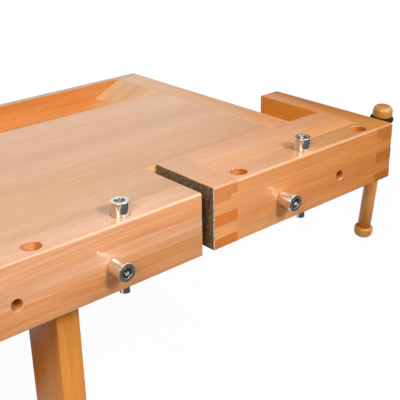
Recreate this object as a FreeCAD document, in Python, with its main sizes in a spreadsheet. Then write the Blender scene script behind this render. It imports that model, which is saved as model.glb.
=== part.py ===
"""Joiner's workbench with a tray, a tail vise, a front vise, round bench dogs and a trestle base.

Frame: X along the bench (tail vise at +X), Y towards the tray, Z up. The origin is on the floor,
under the middle of the bench's bounding box. Millimetres.
"""
import FreeCAD, Part
import os
import re
import Sketcher

doc = FreeCAD.newDocument("Workbench")
sheet = doc.addObject("Spreadsheet::Sheet", "Sizes")
places = doc.addObject("App::VarSet", "Places")

# ---------------------------------------------------------------- driving dimensions
SIZES = {
    # bench top
    "bench_length": 1800,
    "bench_depth": 652,
    "bench_height": 860,
    "beam_height": 110,
    "beam_thick": 52,
    "edge_round": 4,
    "slab_thick": 50,
    "cap_thick": 54,
    "rail_thick": 16,
    "rail_height": 90,
    "tray_width": 153,
    "tray_drop": 34,
    "tray_board": 12,
    "slab_groove": 8,
    "rail_groove": 6,
    "groove_play": 0.3,
    "ramp_run": 70,
    "jaw_block_length": 60,
    # tail vise
    "notch_length": 360.1,
    "vise_length": 465.4,
    "vise_depth": 146,
    "slide_gap": 0.8,
    "slide_play": 0.4,
    "jaw_open": 24.3,
    "lining_thick": 3,
    "vise_board": 52,
    "jaw_block": 51.5,
    "end_board": 49.8,
    "end_finger": 45.4,
    "arm_reach": 308,
    "first_finger": 28.8,
    "finger_high": 21,
    "lip_long": 15,
    "lip_high": 7.8,
    "top_plate": 30,
    "back_rail_thick": 30,
    "back_rail_high": 30,
    "tongue_drop": 38,
    "tongue_high": 8,
    "tongue_reach": 12,
    "tongue_length": 152,
    "guide_bar": 40,
    "guide_bar_drop": 62,
    "guide_bar_inset": 262,
    "guide_bar_start": 60,
    "keeper_length": 50,
    "keeper_wall": 20,
    "keeper_start": 202,
    "glue_play": 0.1,
    # screws and their handles
    "screw_dia": 26,
    "running_play": 0.05,
    "screw_hole_play": 0.6,
    "tail_screw_drop": 52,
    "tail_screw_inset": 69.5,
    "tail_screw_start": 140,
    "front_screw_drop": 67,
    "front_screw_tail": 280,
    "flange_dia": 88,
    "flange_thick": 8,
    "collar_dia": 44,
    "collar_reach": 20,
    "flange_screw_square": 46.7,
    "flange_screw": 6,
    "flange_screw_long": 32,
    "flange_head_dia": 11,
    "flange_head_high": 3.4,
    "flange_head_rim": 1.4,
    "hub_dia": 36,
    "hub_length": 50,
    "hub_neck": 31,
    "hub_nose_dia": 22,
    "hub_nose": 10,
    "eye_wall": 5,
    "eye_high": 60,
    "bar_offset": 55,
    "bar_dia": 28,
    "bar_below": 242,
    "knob_dia": 40,
    "knob_high": 24,
    "knob_crown": 13,
    "knob_foot": 5,
    "knob_socket": 17,
    "ring_dia": 47,
    "ring_thick": 8,
    "ring_round": 3.2,
    "seat_gap": 0.3,
    "tail_tilt": 5.8,
    "front_tilt": -24,
    # nut brackets
    "boss_dia": 31.6,
    "boss_length": 46,
    "bracket_thick": 10,
    "bracket_drop": 64,
    "bracket_high": 42,
    "bracket_web": 14,
    "riser_inset": 2,
    "front_plate_drop": 26,
    "bracket_bolt": 8,
    "bracket_bolt_long": 36,
    "bracket_head_across": 13,
    "bracket_head_high": 5.3,
    "bracket_pitch": 31,
    "front_bracket_wide": 100,
    "front_bracket_pitch": 72,
    # front vise
    "chop_length": 480,
    "chop_thick": 60,
    "chop_inset": 267,
    "front_open": 18.3,
    "rod_dia": 20,
    "rod_spread": 160,
    "rod_tail": 330,
    "rod_socket": 40,
    "rod_block": 60,
    "chop_dog_spread": 80,
    # bench dogs and their holes
    "dog_inset": 25.8,
    "dog_head_dia": 30,
    "dog_head_long": 30,
    "dog_shank_dia": 18,
    "dog_play": 0.25,
    "drill_run": 1,
    "dog_rise": 22.5,
    "dog_shank_long": 125,
    "dog_shank_short": 44,
    "dog_recess_dia": 17.4,
    "dog_recess_deep": 10.5,
    "dog_bevel": 0.8,
    "seat_depth": 31,
    "rim_bevel": 0.75,
    "cap_screw_dia": 10,
    "cap_screw_head": 16,
    "cap_screw_play": 0.25,
    "hex_key": 8,
    "hex_deep": 5,
    "side_hole_drop": 65.4,
    "vise_first_hole": 78,
    "vise_hole_pitch": 157.3,
    "vise_side_first": 160.6,
    "vise_side_pitch": 152,
    "beam_first_hole": 138.8,
    "beam_hole_pitch": 153,
    "beam_side_first": 172,
    "beam_side_pitch": 164.1,
    # trestles
    "trestle_right": 579,
    "trestle_left": 330,
    "post_thick": 42,
    "post_wide": 95,
    "post_inset": 70,
    "tenon_thick": 14,
    "tenon_wide": 60,
    "tenon_long": 40,
    "bearer_high": 80,
    "foot_thick": 60,
    "foot_high": 70,
    "foot_inset": 30,
    "pad_high": 10,
    "pad_long": 80,
    "stretcher_thick": 32,
    "stretcher_high": 120,
    "stretcher_level": 250,
    # bolts
    "bolt_dia": 10,
    "bolt_play": 0.5,
    "bolt_reach": 58,
    "bolt_end_room": 2,
    "bolt_head_across": 16.5,
    "bolt_head_high": 6.5,
    "bolt_seat_dia": 26,
    "bolt_seat_deep": 12,
    "bolt_margin": 30,
    "barrel_dia": 16,
    "barrel_play": 0.1,
    "barrel_long": 28,
    "barrel_back": 40,
    "cap_bolt_front": 83.2,
    "cap_bolt_back": 63,
    "bearer_bolt_seat": 10,
}
for row, (alias, value) in enumerate(SIZES.items(), start=1):
    sheet.set(f"A{row}", str(value))
    sheet.setAlias(f"A{row}", alias)
doc.recompute()

# ---------------------------------------------------------------- derived places
PLACES = {
    "tail_reach": "vise_length - notch_length + jaw_open + lining_thick + bar_offset + hub_length / 2",
    "front_reach": "front_open + lining_thick + chop_thick + bar_offset + hub_length / 2",
    "right": "(bench_length - tail_reach) / 2",
    "left": "right - bench_length",
    "front": "(front_reach - bench_depth) / 2",
    "back": "front + bench_depth",
    "beam_back": "front + beam_thick",
    "beam_under": "bench_height - beam_height",
    "slab_under": "bench_height - slab_thick",
    "cap_inner_right": "right - cap_thick",
    "cap_inner_left": "left + cap_thick",
    "rail_front": "back - rail_thick",
    "slab_front": "front + vise_depth + slide_gap",
    "slab_back": "rail_front - tray_width",
    "tray_level": "bench_height - tray_drop",
    "jaw_face": "right - notch_length",
    "vise_left": "jaw_face + jaw_open + lining_thick",
    "vise_right": "vise_left + vise_length",
    "vise_back": "front + vise_depth",
    "arm_left": "vise_right - end_board",
    "board_back": "front + vise_board",
    "tail_screw_level": "bench_height - tail_screw_drop",
    "tail_screw_line": "front + tail_screw_inset",
    "chop_back": "front - front_open - lining_thick",
    "chop_front": "chop_back - chop_thick",
    "chop_middle": "left + chop_inset",
    "front_screw_level": "bench_height - front_screw_drop",
    "bar_above": "eye_high / 2 + seat_gap + ring_thick + knob_high",
    "dog_line": "front + dog_inset",
    "side_hole_level": "bench_height - side_hole_drop",
    "seat_dia": "dog_head_dia + 2 * dog_play",
    "shank_bore": "dog_shank_dia + 2 * dog_play",
    "post_front": "front + post_inset",
    "post_back": "back - post_inset - post_wide",
    "foot_top": "pad_high + foot_high",
    "bearer_under": "slab_under - bearer_high",
}
ALIASES = {name: "Sizes" for name in SIZES} | {name: "Places" for name in PLACES}


def link(text):
    """An expression in which each named size or place refers to its sheet cell or derived value."""
    return re.sub(r"[a-z]\w*", lambda word: f"{ALIASES[word[0]]}.{word[0]}", str(text))


for name, text in PLACES.items():
    places.addProperty("App::PropertyFloat", name)
    places.setExpression(name, link(text))
doc.recompute()

RIGHT, LEFT, FRONT, BACK, UP, DOWN = "right", "left", "front", "back", "up", "down"
TURNS = {
    UP: FreeCAD.Rotation(),
    DOWN: FreeCAD.Rotation(FreeCAD.Vector(1, 0, 0), 180),
    RIGHT: FreeCAD.Rotation(FreeCAD.Vector(0, 1, 0), 90),
    LEFT: FreeCAD.Rotation(FreeCAD.Vector(0, 1, 0), -90),
    FRONT: FreeCAD.Rotation(FreeCAD.Vector(1, 0, 0), 90),
    BACK: FreeCAD.Rotation(FreeCAD.Vector(1, 0, 0), -90),
}


# ---------------------------------------------------------------- ways of making a solid
def place(piece, spot, turn=None):
    """Stand a piece at a spot given by three expressions, its own Z turned the given way."""
    rotation = TURNS[turn] if isinstance(turn, str) else turn
    if rotation:
        piece.Placement = FreeCAD.Placement(FreeCAD.Vector(), rotation)
    for axis, text in zip("xyz", spot):
        piece.setExpression(f"Placement.Base.{axis}", link(text))
    return piece


def block(name, size, spot):
    """A squared timber or plate from its lowest corner."""
    piece = doc.addObject("Part::Box", name)
    for side, text in zip(("Length", "Width", "Height"), size):
        piece.setExpression(side, link(text))
    return place(piece, spot)


def rod(name, diameter, length, spot, turn=UP):
    """A round bar, or the drill that makes a bore."""
    piece = doc.addObject("Part::Cylinder", name)
    piece.setExpression("Radius", link(f"({diameter}) / 2"))
    piece.setExpression("Height", link(length))
    return place(piece, spot, turn)


def bevel(name, diameter, spot, turn=UP):
    """The cone that breaks the rim of a bore, its wide end at the surface."""
    piece = doc.addObject("Part::Cone", name)
    piece.setExpression("Radius1", link(f"({diameter}) / 2 + rim_bevel"))
    piece.setExpression("Radius2", link(f"({diameter}) / 2"))
    piece.setExpression("Height", link("rim_bevel"))
    return place(piece, spot, turn)


def hexagon(name, across, length, spot, turn=UP):
    """A six-sided prism of the given width across its flats."""
    piece = doc.addObject("Part::Prism", name)
    piece.Polygon = 6
    piece.setExpression("Circumradius", link(across) + " / sqrt(3)")
    piece.setExpression("Height", link(length))
    return place(piece, spot, turn)


def fused(name, pieces):
    """Pieces joined into one solid."""
    result = doc.addObject("Part::MultiFuse", name)
    result.Shapes = pieces
    return result


def grouped(name, pieces):
    """Separate solids kept together in one node."""
    result = doc.addObject("Part::Compound", name)
    result.Links = pieces
    return result


def cut(name, base, tools):
    """A piece with every tool taken out of it."""
    result = doc.addObject("Part::Cut", name)
    result.Base = base
    result.Tool = tools[0] if len(tools) == 1 else fused(f"{name}_tools", tools)
    return result


NEAR = 0.01


def top_edge_eased(name, piece):
    """A timber whose upper front edge is rounded over."""
    doc.recompute()
    box = piece.Shape.BoundBox
    result = doc.addObject("Part::Fillet", name)
    result.Base = piece
    for number, edge in enumerate(piece.Shape.Edges, start=1):
        middle = edge.CenterOfMass
        if abs(middle.y - box.YMin) < NEAR and abs(middle.z - box.ZMax) < NEAR:
            result.Edges = [(number, sheet.edge_round, sheet.edge_round)]
    return result


def outline(body, name, points):
    """A closed sketch on the body's XZ plane; each corner is held by two expressions."""
    sketch = body.newObject("Sketcher::SketchObject", name)
    plane = next(item for item in body.Origin.OriginFeatures if item.Role == "XZ_Plane")
    sketch.AttachmentSupport = [(plane, "")]
    sketch.MapMode = "FlatFace"
    doc.recompute()
    spots = [FreeCAD.Vector(*(measure(text) for text in point), 0) for point in points]
    for start, end in zip(spots, spots[1:] + spots[:1]):
        sketch.addGeometry(Part.LineSegment(start, end))
    for number, point in enumerate(points):
        previous = (number - 1) % len(points)
        sketch.addConstraint(Sketcher.Constraint("Coincident", previous, 2, number, 1))
        for kind, text, axis, spot in zip(
            ("DistanceX", "DistanceY"), point, (-2, -1), tuple(spots[number])
        ):
            if str(text) == "0":
                sketch.addConstraint(Sketcher.Constraint("PointOnObject", number, 1, axis))
                continue
            held = sketch.addConstraint(Sketcher.Constraint(kind, -1, 1, number, 1, spot))
            sketch.setExpression(f"Constraints[{held}]", link(text))
    return sketch


def measure(text):
    """The value of an expression now."""
    return places.evalExpression(link(text))


def turned(name, points, spot=None, turn=None):
    """A piece turned about its own Z from a half section given as (radius, level) corners."""
    body = doc.addObject("PartDesign::Body", name)
    sketch = outline(body, f"{name}_section", points)
    spin = body.newObject("PartDesign::Revolution", f"{name}_spin")
    spin.Profile = sketch
    spin.ReferenceAxis = (sketch, ["V_Axis"])
    spin.Angle = 360
    body.Tip = spin
    if spot:
        place(body, spot, turn)
    return body


def rounded(body, name, level, radius):
    """Round the outermost circular edge at one level of a turned body."""
    doc.recompute()
    solid = body.Tip
    height = measure(level)
    rims = [
        (edge.Curve.Radius, f"Edge{number}")
        for number, edge in enumerate(solid.Shape.Edges, start=1)
        if isinstance(edge.Curve, Part.Circle) and abs(edge.Curve.Center.z - height) < NEAR
    ]
    fillet = body.newObject("PartDesign::Fillet", name)
    fillet.Base = (solid, [max(rims)[1]])
    fillet.setExpression("Radius", link(radius))
    body.Tip = fillet
    return body


# ---------------------------------------------------------------- bench top
def dog_hole(name, x, y):
    """Drills for an upright dog hole: a wide seat, a narrow bore below it and a broken rim."""
    return [
        rod(f"{name}_seat", "seat_dia", "seat_depth", (x, y, "bench_height"), DOWN),
        rod(f"{name}_bore", "shank_bore", "beam_height + drill_run", (x, y, "bench_height"), DOWN),
        bevel(f"{name}_rim", "seat_dia", (x, y, "bench_height"), DOWN),
    ]


def side_hole(name, x, depth):
    """Drills for a level dog hole through a front timber, with its rim broken."""
    spot = (x, f"front + {depth}", "side_hole_level")
    rim = bevel(f"{name}_rim", "shank_bore", (x, "front", "side_hole_level"), BACK)
    return [rod(f"{name}_bore", "shank_bore", f"{depth}", spot, FRONT), rim]


BEAM_HOLES = 5
BEAM_SIDE_HOLES = 5
TRESTLES = ("left + trestle_left", "right - trestle_right")
CAP_BOLTS = ("slab_front + cap_bolt_front", "slab_back - cap_bolt_back")


def front_beam():
    """The front beam: it holds the dog holes and is the fixed half of the front vise."""
    size = ("jaw_face - left", "beam_thick", "beam_height")
    blank = top_edge_eased(
        "front_beam_eased", block("front_beam_blank", size, ("left", "front", "beam_under"))
    )
    tools = []
    for number in range(BEAM_HOLES):
        x = f"jaw_face - beam_first_hole - {number} * beam_hole_pitch"
        tools += dog_hole(f"beam_hole_{number}", x, "dog_line")
    for number in range(BEAM_SIDE_HOLES):
        x = f"jaw_face - beam_side_first - {number} * beam_side_pitch"
        tools += side_hole(f"beam_side_{number}", x, "beam_thick")
    screw_spot = ("chop_middle", "beam_back", "front_screw_level")
    tools.append(
        rod("beam_screw_hole", "screw_dia + 2 * screw_hole_play", "beam_thick", screw_spot, FRONT)
    )
    for side in (-1, 1):
        spot = (f"chop_middle + {side} * rod_spread", "beam_back", "front_screw_level")
        bore = "rod_dia + 2 * running_play"
        tools.append(rod(f"beam_rod_hole_{side + 1}", bore, "beam_thick", spot, FRONT))
        spot = (
            f"chop_middle + {side} * front_bracket_pitch / 2",
            "beam_back",
            "front_screw_level",
        )
        depth = "bracket_bolt_long - bracket_thick"
        tools.append(rod(f"beam_bracket_hole_{side + 1}", "bracket_bolt", depth, spot, FRONT))
    return cut("front_beam", blank, tools)


def slab():
    """The glued core of the top: one wide slab and the stave in front of it that the vise's notch ends."""
    size = ("cap_inner_right - cap_inner_left", "slab_back - slab_front", "slab_thick")
    blank = block("slab_blank", size, ("cap_inner_left", "slab_front", "slab_under"))
    groove = block(
        "slab_tray_groove",
        ("cap_inner_right - cap_inner_left", "slab_groove", "tray_board + groove_play"),
        ("cap_inner_left", "slab_back - slab_groove", "tray_level - tray_board - groove_play"),
    )
    tools = [groove]
    for end, edge, turn in ((0, "cap_inner_left", RIGHT), (1, "cap_inner_right", LEFT)):
        for row, y in enumerate(CAP_BOLTS):
            tools += end_bolt_drills(f"slab_{end}{row}", edge, y, turn)
    for trestle, middle in enumerate(TRESTLES):
        for row, y in enumerate(CAP_BOLTS):
            spot = (middle, y, "slab_under")
            bite = "bearer_bolt_seat + post_thick + bolt_reach - bearer_high"
            tools.append(rod(f"slab_lag_{trestle}{row}", "bolt_dia", bite, spot))
    stave = block(
        "slab_front_stave",
        ("jaw_face - cap_inner_left", "slab_front - beam_back", "slab_thick"),
        ("cap_inner_left", "beam_back", "slab_under"),
    )
    jaw = block(
        "fixed_jaw_block",
        ("jaw_block_length", "slab_front - beam_back", "beam_height - slab_thick"),
        ("jaw_face - jaw_block_length", "beam_back", "beam_under"),
    )
    return cut("bench_slab", blank, tools), stave, jaw


def end_bolt_drills(name, edge, y, turn):
    """Bores in the end of the slab for a cap bolt and, from below, for its barrel nut."""
    level = "slab_under + slab_thick / 2"
    sign = "+" if turn == RIGHT else "-"
    bore = rod(f"{name}_bolt", "bolt_dia + 2 * bolt_play", "bolt_reach", (edge, y, level), turn)
    spot = (f"{edge} {sign} barrel_back", y, "slab_under")
    depth = "(slab_thick + barrel_long) / 2"
    return [bore, rod(f"{name}_barrel", "barrel_dia + 2 * barrel_play", depth, spot)]


def end_cap(name, x, y_start, outer, turn):
    """A cross-grained cap bolted to the end of the slab, its bolt heads sunk in the outer face."""
    size = ("cap_thick", f"rail_front - ({y_start})", "beam_height")
    blank = block(f"{name}_blank", size, (x, y_start, "beam_under"))
    level = "slab_under + slab_thick / 2"
    tools = []
    for row, y in enumerate(CAP_BOLTS):
        spot = (outer, y, level)
        bore = "bolt_dia + 2 * bolt_play"
        tools.append(rod(f"{name}_bore_{row}", bore, "cap_thick", spot, turn))
        tools.append(rod(f"{name}_seat_{row}", "bolt_seat_dia", "bolt_seat_deep", spot, turn))
    if name == "right_end_cap":
        tools.append(guide_mortise(f"{name}_mortise", "cap_inner_right", "cap_thick"))
        for side in (-1, 1):
            spot = bracket_bolt_spot(side, "slab_front")
            depth = "bracket_bolt_long - bracket_thick"
            tools.append(rod(f"{name}_bracket_{side + 1}", "bracket_bolt", depth, spot, BACK))
    return cut(name, blank, tools)


def guide_mortise(name, x, length):
    """The square hole that the tail vise's guide bar slides in."""
    side = "guide_bar + 2 * slide_play"
    spot = (
        x,
        "front + guide_bar_inset - slide_play",
        "bench_height - guide_bar_drop - guide_bar - slide_play",
    )
    return block(name, (length, side, side), spot)


def tray():
    """The tray behind the slab: rear rail, thin floor let into grooves, and a sloping block at each end."""
    rail = block(
        "rail_blank",
        ("bench_length", "rail_thick", "rail_height"),
        ("left", "rail_front", "bench_height - rail_height"),
    )
    groove = block(
        "rail_tray_groove",
        ("cap_inner_right - cap_inner_left", "rail_groove", "tray_board + groove_play"),
        ("cap_inner_left", "rail_front", "tray_level - tray_board - groove_play"),
    )
    floor_width = "tray_width + slab_groove + rail_groove - 2 * groove_play"
    floor = block(
        "tray_floor",
        ("cap_inner_right - cap_inner_left", floor_width, "tray_board"),
        ("cap_inner_left", "slab_back - slab_groove + groove_play", "tray_level - tray_board"),
    )
    ramps = []
    for side, cap in ((-1, "cap_inner_right"), (1, "cap_inner_left")):
        body = doc.addObject("PartDesign::Body", f"ramp_body_{side + 1}")
        corners = [("0", "0"), (f"{side} * ramp_run", "0"), ("0", "tray_drop")]
        pad = body.newObject("PartDesign::Pad", f"ramp_pad_{side + 1}")
        pad.Profile = outline(body, f"ramp_section_{side + 1}", corners)
        pad.setExpression("Length", link("tray_width"))
        body.Tip = pad
        ramps.append(place(body, (cap, "rail_front", "tray_level")))
    return cut("rear_rail", rail, [groove]), floor, grouped("tray_ramps", ramps)


# ---------------------------------------------------------------- tail vise
def tongues(name, x, length, lip_x):
    """The part of a corner joint that belongs to the front board: two fingers and a small lip."""
    fingers = [
        block(
            f"{name}_finger_{number}",
            (length, "vise_board", "finger_high"),
            (
                x,
                "front",
                f"bench_height - first_finger - {1 + 2 * number} * finger_high",
            ),
        )
        for number in range(2)
    ]
    lip = block(
        f"{name}_lip",
        ("lip_long", "vise_board", "lip_high"),
        (lip_x, "front", "bench_height - first_finger"),
    )
    return fingers + [lip]


def vise_front_board():
    """The board with the dog holes, finger-jointed to the jaw block and to the end board."""
    size = ("vise_length - jaw_block - end_finger", "vise_board", "beam_height")
    spot = ("vise_left + jaw_block", "front", "beam_under")
    middle = top_edge_eased("vise_board_eased", block("vise_board_blank", size, spot))
    left = tongues("jaw_tongue", "vise_left", "jaw_block", "vise_left + jaw_block - lip_long")
    right = tongues("end_tongue", "vise_right - end_finger", "end_finger", "vise_right - end_finger")
    tools = []
    for number in range(3):
        x = f"vise_left + vise_first_hole + {number} * vise_hole_pitch"
        tools += dog_hole(f"vise_hole_{number}", x, "dog_line")
    for number in range(2):
        x = f"vise_left + vise_side_first + {number} * vise_side_pitch"
        tools += side_hole(f"vise_side_{number}", x, "vise_board")
    face = ("vise_right", "tail_screw_line", "tail_screw_level")
    tools += flange_screw_drills("front_board_pilot", face, LEFT)
    return cut("vise_front_board", fused("vise_board_whole", [middle, *left, *right]), tools)


def vise_jaw_block():
    """The thick block behind the moving jaw's lining; its grain runs across the bench."""
    size = ("jaw_block", "vise_depth", "beam_height")
    blank = block("jaw_block_blank", size, ("vise_left", "front", "beam_under"))
    spot = "vise_left + jaw_block - lip_long"
    tools = tongues("jaw_socket", "vise_left", "jaw_block", spot)
    return cut("vise_jaw_block", top_edge_eased("jaw_block_eased", blank), tools)


def vise_end_board():
    """The long end board, or arm: it carries the screw's flange and the guide bar."""
    arm = block(
        "end_board_arm",
        ("end_board", "arm_reach - vise_board", "beam_height"),
        ("arm_left", "board_back", "beam_under"),
    )
    nose = block(
        "end_board_nose",
        ("end_finger", "vise_board", "beam_height"),
        ("vise_right - end_finger", "front", "beam_under"),
    )
    whole = fused("end_board_whole", [arm, top_edge_eased("end_board_eased", nose)])
    tools = tongues("end_socket", "vise_right - end_finger", "end_finger", "vise_right - end_finger")
    spot = ("arm_left", "tail_screw_line", "tail_screw_level")
    bore = "screw_dia + 2 * screw_hole_play"
    tools.append(rod("end_board_screw_hole", bore, "end_board", spot, RIGHT))
    side = "guide_bar + 2 * glue_play"
    corner = (
        "arm_left",
        "front + guide_bar_inset - glue_play",
        "bench_height - guide_bar_drop - guide_bar - glue_play",
    )
    tools.append(block("end_board_mortise", ("end_board", side, side), corner))
    tools += flange_screw_drills(
        "end_board_pilot", ("vise_right", "tail_screw_line", "tail_screw_level"), LEFT
    )
    return cut("vise_end_board", whole, tools)


def vise_shell():
    """The vise's top plate, its grooved back rail and the guide bar that slides through the end cap."""
    inner = "vise_length - jaw_block - end_board"
    plate = block(
        "vise_top_plate",
        (inner, "vise_depth - vise_board", "top_plate"),
        ("vise_left + jaw_block", "board_back", "bench_height - top_plate"),
    )
    rail = block(
        "back_rail_blank",
        (inner, "back_rail_thick", "back_rail_high"),
        (
            "vise_left + jaw_block",
            "vise_back - back_rail_thick",
            "bench_height - top_plate - back_rail_high",
        ),
    )
    groove_depth = "tongue_reach - slide_gap + slide_play"
    groove = block(
        "back_rail_groove",
        (inner, groove_depth, "tongue_high + 2 * slide_play"),
        (
            "vise_left + jaw_block",
            f"vise_back - ({groove_depth})",
            "bench_height - tongue_drop - tongue_high - slide_play",
        ),
    )
    bar = block(
        "vise_guide_bar",
        ("vise_length - guide_bar_start", "guide_bar", "guide_bar"),
        (
            "vise_left + guide_bar_start",
            "front + guide_bar_inset",
            "bench_height - guide_bar_drop - guide_bar",
        ),
    )
    lining = block(
        "vise_jaw_lining",
        ("lining_thick", "vise_depth", "beam_height"),
        ("vise_left - lining_thick", "front", "beam_under"),
    )
    return plate, cut("vise_back_rail", rail, [groove]), bar, lining


def tail_guides():
    """What the tail vise runs on: a tongue on the slab's edge and a keeper under the slab."""
    tongue = block(
        "vise_tongue",
        ("tongue_length", "tongue_reach", "tongue_high"),
        (
            "right - tongue_length",
            "slab_front - tongue_reach",
            "bench_height - tongue_drop - tongue_high",
        ),
    )
    keeper = block(
        "keeper_blank",
        (
            "keeper_length",
            "guide_bar + 2 * keeper_wall",
            "guide_bar_drop + guide_bar + keeper_wall - slab_thick",
        ),
        (
            "vise_left + keeper_start",
            "front + guide_bar_inset - keeper_wall",
            "bench_height - guide_bar_drop - guide_bar - keeper_wall",
        ),
    )
    mortise = guide_mortise("keeper_mortise", "vise_left + keeper_start", "keeper_length")
    return tongue, cut("guide_keeper", keeper, [mortise])


# ---------------------------------------------------------------- screws, nuts and handles
def flange_screw_spots(centre, turn):
    """Four spots round a screw's axis, a quarter turn apart, on the face that the flange sits on."""
    x, y, z = centre
    half = "flange_screw_square / 2"
    for across in (-1, 1):
        for level in (-1, 1):
            if turn == LEFT:
                yield (x, f"{y} + {across} * {half}", f"{z} + {level} * {half}")
            else:
                yield (f"{x} + {across} * {half}", y, f"{z} + {level} * {half}")


def flange_screw_drills(name, centre, turn):
    """Pilot holes for the flange screws, from the face into the timber."""
    depth = "flange_screw_long - flange_thick"
    return [
        rod(f"{name}_{number}", "flange_screw", depth, spot, turn)
        for number, spot in enumerate(flange_screw_spots(centre, turn))
    ]


def flange(name, centre, out, inward):
    """A turned iron flange that the screw turns in; the handle's hub bears on its collar."""
    bore = "screw_dia / 2 + running_play"
    section = [
        (bore, "0"),
        ("flange_dia / 2", "0"),
        ("flange_dia / 2", "flange_thick"),
        ("collar_dia / 2", "flange_thick"),
        ("collar_dia / 2", "collar_reach"),
        (bore, "collar_reach"),
    ]
    disc = turned(f"{name}_disc", section, centre, out)
    holes = []
    screws = []
    for number, spot in enumerate(flange_screw_spots(centre, inward)):
        holes.append(rod(f"{name}_hole_{number}", "flange_screw", "flange_thick", spot, out))
        section = [
            ("0", "flange_thick + flange_head_high"),
            ("0", "flange_thick - flange_screw_long"),
            ("flange_screw / 2", "flange_thick - flange_screw_long"),
            ("flange_screw / 2", "flange_thick"),
            ("flange_head_dia / 2", "flange_thick"),
            ("flange_head_dia / 2", "flange_thick + flange_head_rim"),
            ("flange_head_dia / 4", "flange_thick + flange_head_high"),
        ]
        screws.append(turned(f"{name}_screw_{number}", section, spot, out))
    return cut(name, disc, holes), grouped(f"{name}_screws", screws)


def handle(name, centre, rotation):
    """Hub, tommy bar, its two knobs and the rubber ring that stops it, in the plane of the bar.

    Own frame: X along the screw's axis away from the vise, Z along the bar, origin in the hub.
    """
    along = rotation.multiply(TURNS[RIGHT])
    neck = "collar_reach + seat_gap - bar_offset"
    section = [
        ("screw_dia / 2", neck),
        ("hub_neck / 2", neck),
        ("hub_neck / 2", "-hub_length / 2"),
        ("hub_dia / 2", "-hub_length / 2"),
        ("hub_dia / 2", "hub_length / 2 - hub_nose"),
        ("hub_nose_dia / 2", "hub_length / 2"),
        ("0", "hub_length / 2"),
        ("0", "-bar_dia / 2 - eye_wall"),
        ("screw_dia / 2", "-bar_dia / 2 - eye_wall"),
    ]
    hub = turned(f"{name}_hub_turned", section)
    rounded(hub, f"{name}_hub_face", "hub_length / 2", "edge_round")
    rounded(hub, f"{name}_hub_shoulder", "-hub_length / 2", "edge_round / 2")
    place(hub, centre, along)
    boss = rod(f"{name}_hub_boss", "bar_dia + 2 * eye_wall", "eye_high", ("0", "0", "-eye_high / 2"))
    standing = place(grouped(f"{name}_hub_boss_in_place", [boss]), centre, rotation)
    whole = fused(f"{name}_hub_whole", [hub, standing])
    spot = ("0", "0", "-eye_high / 2 - drill_run")
    eye = rod(f"{name}_hub_eye", "bar_dia + 2 * running_play", "eye_high + 2 * drill_run", spot)
    eye_body = cut_in_place(f"{name}_hub", whole, eye, centre, rotation)

    bar_length = "bar_below + bar_above - 2 * (knob_high - knob_socket)"
    bar = turned(
        f"{name}_bar",
        [
            ("0", "knob_high - knob_socket - bar_below"),
            ("bar_dia / 2", "knob_high - knob_socket - bar_below"),
            ("bar_dia / 2", f"knob_high - knob_socket - bar_below + {bar_length}"),
            ("0", f"knob_high - knob_socket - bar_below + {bar_length}"),
        ],
    )
    place(bar, centre, rotation)
    knobs = []
    for number, (end, way) in enumerate((("bar_above", "-"), ("-bar_below", "+"))):
        section = [
            ("0", end),
            ("knob_dia / 2", end),
            ("knob_dia / 2", f"{end} {way} knob_high"),
            ("bar_dia / 2", f"{end} {way} knob_high"),
            ("bar_dia / 2", f"{end} {way} (knob_high - knob_socket)"),
            ("0", f"{end} {way} (knob_high - knob_socket)"),
        ]
        knob = turned(f"{name}_knob_{number}", section)
        rounded(knob, f"{name}_knob_crown_{number}", end, "knob_crown")
        rounded(knob, f"{name}_knob_foot_{number}", f"{end} {way} knob_high", "knob_foot")
        knobs.append(place(knob, centre, rotation))
    seat = "eye_high / 2 + seat_gap"
    ring = turned(
        f"{name}_ring",
        [
            ("bar_dia / 2", seat),
            ("ring_dia / 2", seat),
            ("ring_dia / 2", f"{seat} + ring_thick"),
            ("bar_dia / 2", f"{seat} + ring_thick"),
        ],
    )
    rounded(ring, f"{name}_ring_low", seat, "ring_round")
    rounded(ring, f"{name}_ring_high", f"{seat} + ring_thick", "ring_round")
    place(ring, centre, rotation)
    return eye_body, bar, grouped(f"{name}_knobs", knobs), ring


def cut_in_place(name, base, tool, centre, rotation):
    """Take a tool drawn about the handle's own origin out of a base that stands in its place."""
    holder = grouped(f"{name}_tool", [tool])
    return cut(name, base, [place(holder, centre, rotation)])


def tail_nut_bracket():
    """The iron nut of the tail screw, carried below the back rail by a web from the end cap."""
    middle = "cap_inner_right + cap_thick / 2"
    start = f"{middle} - boss_length / 2"
    boss = rod(
        "tail_boss", "boss_dia", "boss_length", (start, "tail_screw_line", "tail_screw_level"), RIGHT
    )
    foot = "bench_height - bracket_drop - bracket_high"
    web = block(
        "tail_web",
        ("bracket_web", "slab_front - tail_screw_line", "bracket_high"),
        (f"{middle} - bracket_web / 2", "tail_screw_line", foot),
    )
    riser = block(
        "tail_riser",
        ("bracket_web", "boss_dia - 2 * riser_inset", f"tail_screw_level - ({foot})"),
        (f"{middle} - bracket_web / 2", "tail_screw_line - boss_dia / 2 + riser_inset", foot),
    )
    pad = block(
        "tail_pad",
        ("boss_length", "bracket_thick", "bracket_high"),
        (start, "slab_front - bracket_thick", foot),
    )
    tools = [
        rod(
            "tail_nut_bore",
            "screw_dia + 2 * running_play",
            "boss_length",
            (start, "tail_screw_line", "tail_screw_level"),
            RIGHT,
        )
    ]
    for side in (-1, 1):
        spot = bracket_bolt_spot(side, "slab_front - bracket_thick")
        tools.append(rod(f"tail_pad_hole_{side + 1}", "bracket_bolt", "bracket_thick", spot, BACK))
    return cut("tail_nut_bracket", fused("tail_bracket_whole", [boss, web, riser, pad]), tools)


def bracket_bolt_spot(side, y):
    """Where a bolt holds the tail nut's bracket to the front end of the end cap."""
    return (
        f"cap_inner_right + cap_thick / 2 + {side} * bracket_pitch / 2",
        y,
        "bench_height - bracket_drop - bracket_high / 2",
    )


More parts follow.
